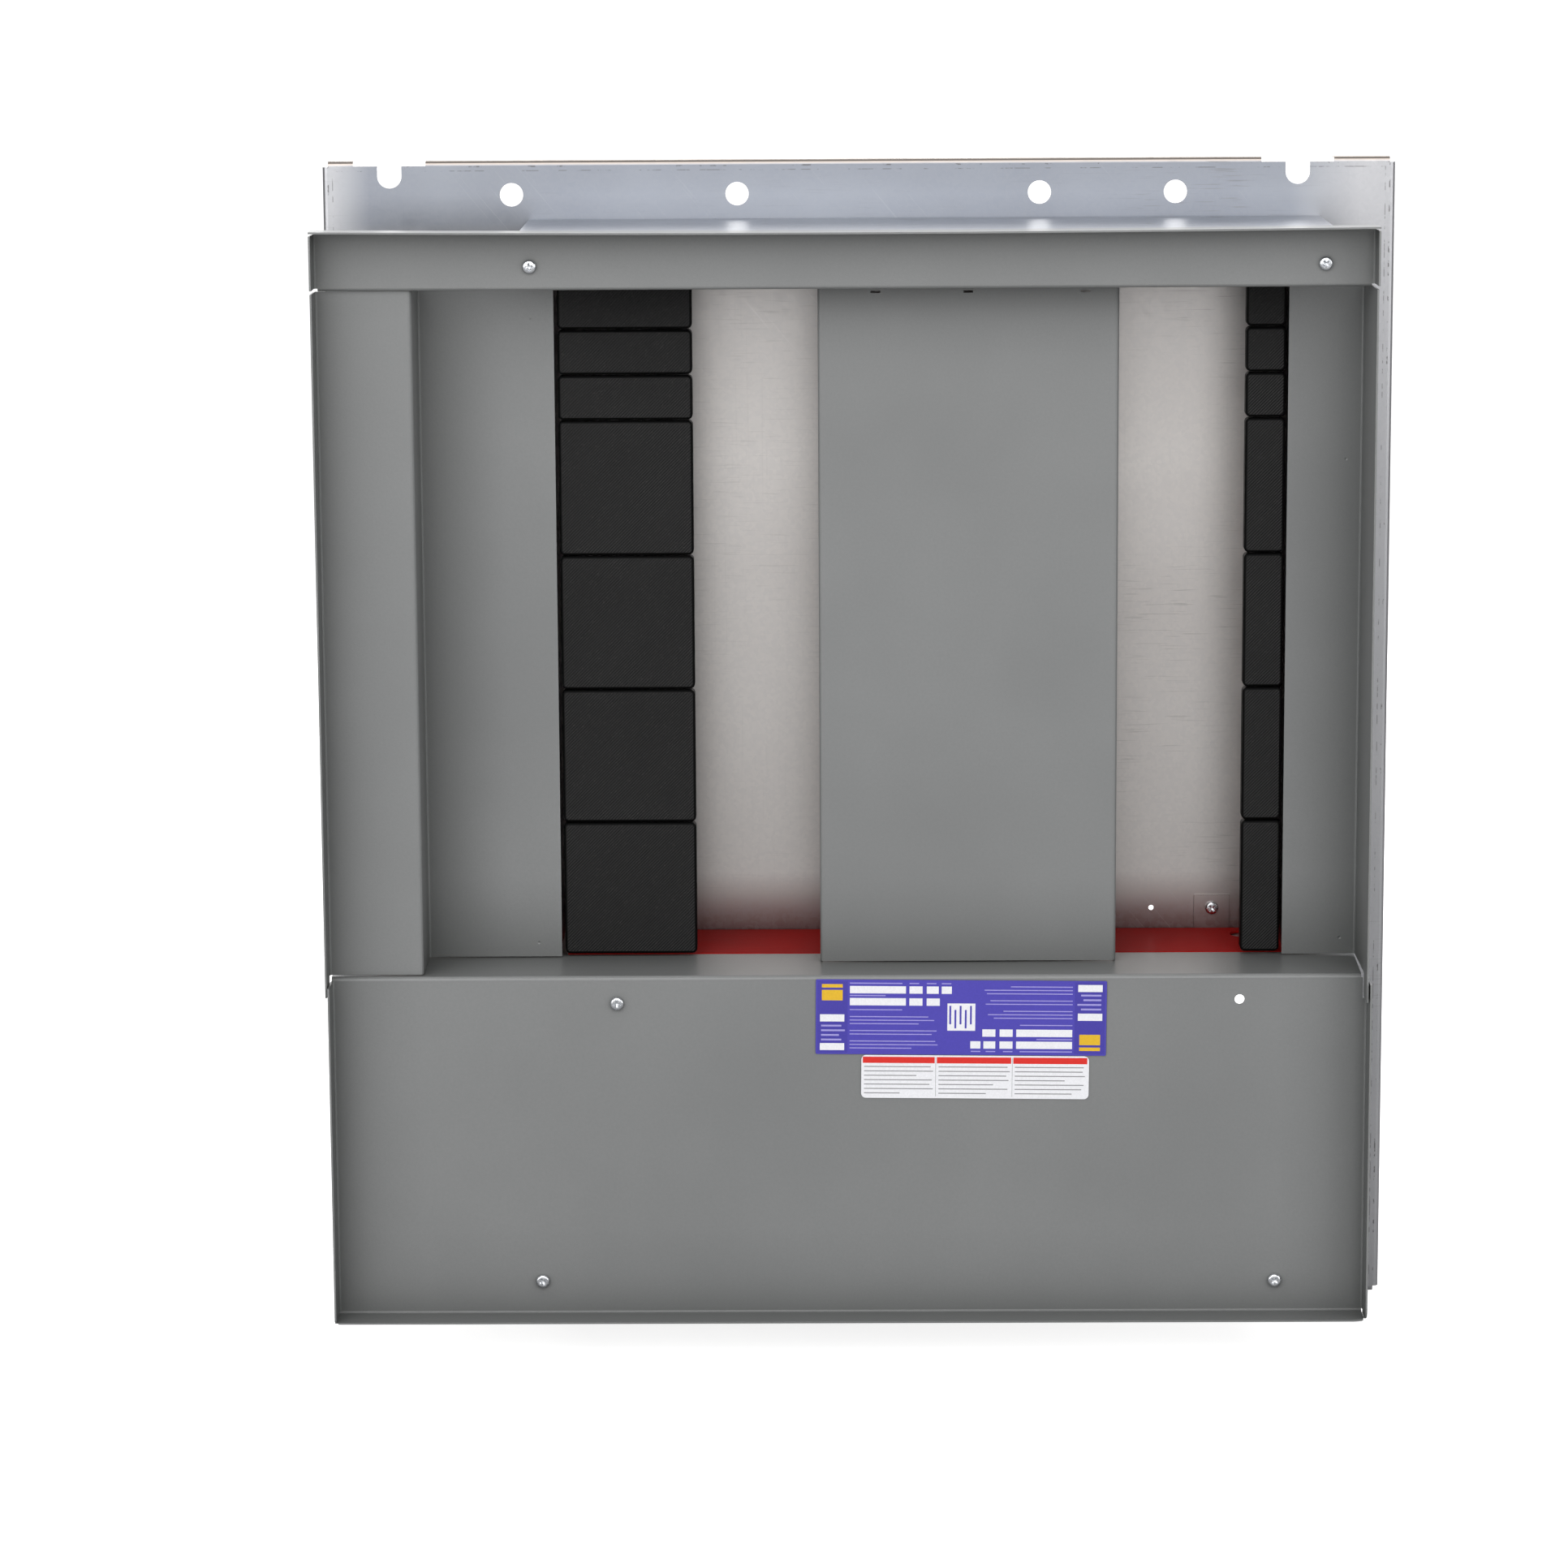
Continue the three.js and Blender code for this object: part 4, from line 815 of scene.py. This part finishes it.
def printed_label(node, size, corner, ground, fields):
    """A film with printed fields.

    A field is its ink, left, top, width and height, in mm from the label's upper left corner.
    """
    low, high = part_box(node)
    centre = (low + high) / 2
    width, height = size[0] * MM, size[1] * MM
    rear = high.y
    inks = [ground] + sorted({field[0] for field in fields} - {ground})
    outline = label_outline(width, height, corner * MM)
    points, faces, owners = [], [], []

    def add_slab(ring, y_front, y_rear, ink):
        base, count = len(points), len(ring)
        points.extend((x, y_front, z) for x, z in ring)
        points.extend((x, y_rear, z) for x, z in ring)
        made = [tuple(range(base, base + count)), tuple(range(base + count, base + 2 * count))]
        made += [(base + i, base + (i + 1) % count, base + count + (i + 1) % count, base + count + i)
                 for i in range(count)]
        faces.extend(made)
        owners.extend([inks.index(ink)] * len(made))

    front = rear - FILM_T
    add_slab(outline, front, rear, ground)
    for ink, left, top, wide, tall in fields:
        x0, z1 = left * MM - width / 2, height / 2 - top * MM
        ring = [(x0, z1 - tall * MM), (x0 + wide * MM, z1 - tall * MM), (x0 + wide * MM, z1), (x0, z1)]
        add_slab(ring, front - INK_LAYER[ink] * INK_T, front - INK_LIFT, ink)
    mesh = mesh_from(f"{node}_film", points, faces)
    mesh.polygons.foreach_set("material_index", owners)
    tilted = Matrix.Rotation(LABEL_TILT, 4, "Y")
    mesh.transform(Matrix.Translation(Vector((centre.x, 0, centre.z))) @ tilted)
    return new_piece(f"{node}_film", mesh, "bottom_cover", node, [INK[ink] for ink in inks])


def rating_half():
    """Fields of the label's left half: a heading block, two rows of boxes and rules under them."""
    fields = [
        ("deep", 1.2, 1.2, 25.5, 61.8), ("yellow", 5.0, 4.0, 17.5, 3.0), ("yellow", 5.0, 9.0, 17.5, 9.0),
        ("white", 3.5, 30.0, 20.5, 6.2), ("white", 3.5, 54.8, 20.5, 6.0),
        ("white", 28.5, 5.5, 47.0, 6.3), ("white", 78.5, 5.5, 11.0, 6.3), ("white", 93.0, 5.5, 10.0, 6.3),
        ("white", 105.5, 5.5, 8.5, 6.3),
        ("white", 28.5, 15.8, 47.0, 6.3), ("white", 78.5, 15.8, 11.0, 6.3), ("white", 93.0, 15.8, 11.0, 6.3),
    ]
    for top, wide in ((39.0, 17.0), (43.0, 20.0), (47.0, 15.0), (51.0, 17.0)):
        fields.append(("pale", 4.5, top, wide, 1.5))
    for k, wide in enumerate((44, 0, 66, 71, 58, 0, 73, 69, 0, 72, 74, 52)):
        if wide:
            fields.append(("pale", 28.5, 25.4 + 3.0 * k, wide, 0.8))
    for top, wide in ((2.6, 44.0), (13.2, 30.0)):
        fields.append(("pale", 28.5, top, wide, 0.9))
    for left in (78.5, 93.0, 105.5):
        fields.append(("pale", left, 2.6, 8.0, 0.9))
    return fields


def turned_about(fields, width, height):
    """The same fields turned half a turn about the label's middle."""
    return [(ink, width - left - wide, height - top - tall, wide, tall)
            for ink, left, top, wide, tall in fields]


def code_block(left, top, side):
    """A plain white square with a few staggered upright bars in it."""
    fields = [("white", left, top, side, side)]
    for k in range(5):
        step = side / 5.4
        fields.append(("purple", left + 1.6 + k * step, top + 2.0 + (k % 2) * 3.5, 1.6, side - 7.5))
    return fields


RATING_SIZE = (244.0, 64.2)
NOTICE_SIZE = (191.5, 37.0)
rating_fields = rating_half() + turned_about(rating_half(), *RATING_SIZE) + code_block(110.5, 20.0, 23.4)
printed_label("rating_label", RATING_SIZE, 1.2, "purple", rating_fields)

notice_fields = [("red", 1.2, 1.4, 60.5, 5.4), ("red", 63.5, 1.4, 62.5, 5.4), ("red", 127.8, 1.4, 62.2, 5.4),
                 ("grey", 62.4, 1.4, 0.35, 34.0), ("grey", 126.8, 1.4, 0.35, 34.0)]
for left, spans in ((2.4, (56, 58, 44, 57, 55, 58, 30)), (65.0, (58, 60, 57, 59, 46, 58, 40)),
                    (129.2, (58, 57, 59, 42, 58, 56, 48))):
    for k, wide in enumerate(spans):
        notice_fields.append(("grey", left, 9.4 + 3.8 * k, wide, 0.9))
printed_label("notice_label", NOTICE_SIZE, 4.0, "white", notice_fields)


# ---- studio ----------------------------------------------------------------------------------

FLOOR_GAP = 3.0 * MM
FLOOR_REACH = 90.0
FLOOR_SIDES = 48
WHITE = (1.0, 1.0, 1.0, 1.0)
TENT_LIGHT = (0.42, 0.42, 0.42, 1.0)     # what the white tent gives to everything but the camera
FLOOR_GLOW = (0.8, 0.8, 0.8, 1.0)
NO_GLOW = (0.0, 0.0, 0.0, 1.0)
# Each softbox: its place from the middle of the object, its side in metres and its watts.
SOFTBOXES = (
    ("front softbox", (-0.4, -3.3, 2.0), 4.4, 138.0),
    ("left softbox", (-3.2, -2.6, 0.8), 2.0, 32.0),
    ("right softbox", (3.3, -2.4, 0.9), 2.0, 38.0),
    ("rear softbox", (0.5, 3.4, 1.2), 3.0, 70.0),
)
CAMERA = {
    "place": (-0.01076, -4.3422, 0.2639), "yaw": -0.563, "pitch": 10.341, "roll": 0.333,
    "lens": 116.33,
}


def lay_floor():
    """A wide, pale, faintly glowing floor just under the pan."""
    material, tree, shader, place = new_finish("pale floor", Metallic=0.0, IOR=1.45)
    cloud = use_group(tree, MOTTLE, {"Vector": place, "Scale": 1.5, "Fine": 40.0})
    pale = blended(tree, cloud["Broad"], srgb(232, 232, 232), srgb(238, 238, 238))
    seen = add_node(tree, "ShaderNodeLightPath").outputs["Is Camera Ray"]
    tree.links.new(blended(tree, seen, srgb(168, 168, 168), pale), shader.inputs["Base Color"])
    shader.inputs["Roughness"].default_value = 0.8
    tree.links.new(blended(tree, seen, NO_GLOW, FLOOR_GLOW),
                   shader.inputs["Emission Color"])
    shader.inputs["Emission Strength"].default_value = 1.0
    height = CAD_BOX[0][2] - FLOOR_GAP
    rim = []
    for i in range(FLOOR_SIDES):
        angle = 2 * math.pi * i / FLOOR_SIDES
        rim.append((FLOOR_REACH * math.cos(angle), FLOOR_REACH * math.sin(angle), height))
    mesh = bpy.data.meshes.new("floor")
    mesh.from_pydata(rim, [], [tuple(range(FLOOR_SIDES))])
    mesh.materials.append(material)
    floor = bpy.data.objects.new("floor", mesh)
    bpy.context.scene.collection.objects.link(floor)


def light_studio():
    """A white tent with four softboxes, all turned to the middle of the object."""
    world = bpy.data.worlds.new("white tent")
    world.use_nodes = True
    tree = world.node_tree
    seen = add_node(tree, "ShaderNodeLightPath").outputs["Is Camera Ray"]
    tree.links.new(blended(tree, seen, TENT_LIGHT, WHITE),
                   tree.nodes["Background"].inputs["Color"])
    bpy.context.scene.world = world
    low, high = (Vector(corner) for corner in CAD_BOX)
    middle = (low + high) / 2
    for name, offset, size, power in SOFTBOXES:
        data = bpy.data.lights.new(name, "AREA")
        data.energy = power
        data.size = size
        lamp = bpy.data.objects.new(name, data)
        lamp.location = middle + Vector(offset)
        lamp.rotation_euler = (middle - lamp.location).to_track_quat("-Z", "Y").to_euler()
        bpy.context.scene.collection.objects.link(lamp)


def place_camera():
    """A long lens almost straight on, from above the top of the object and looking slightly down."""
    yaw, pitch, roll = (math.radians(CAMERA[k]) for k in ("yaw", "pitch", "roll"))
    ahead = Vector((math.sin(yaw) * math.cos(pitch), math.cos(yaw) * math.cos(pitch), -math.sin(pitch)))
    level = ahead.cross(Vector((0, 0, 1))).normalized()
    down = ahead.cross(level)
    right = level * math.cos(roll) + down * math.sin(roll)
    up = level * math.sin(roll) - down * math.cos(roll)
    data = bpy.data.cameras.new("camera")
    data.sensor_width = 36.0
    data.lens = CAMERA["lens"]
    data.clip_end = 400.0
    camera = bpy.data.objects.new("camera", data)
    turn = Matrix((right, up, -ahead)).transposed().to_4x4()
    camera.matrix_world = Matrix.Translation(Vector(CAMERA["place"])) @ turn
    bpy.context.scene.collection.objects.link(camera)
    bpy.context.scene.camera = camera


lay_floor()
light_studio()
place_camera()
bpy.context.scene.view_settings.view_transform = "Standard"
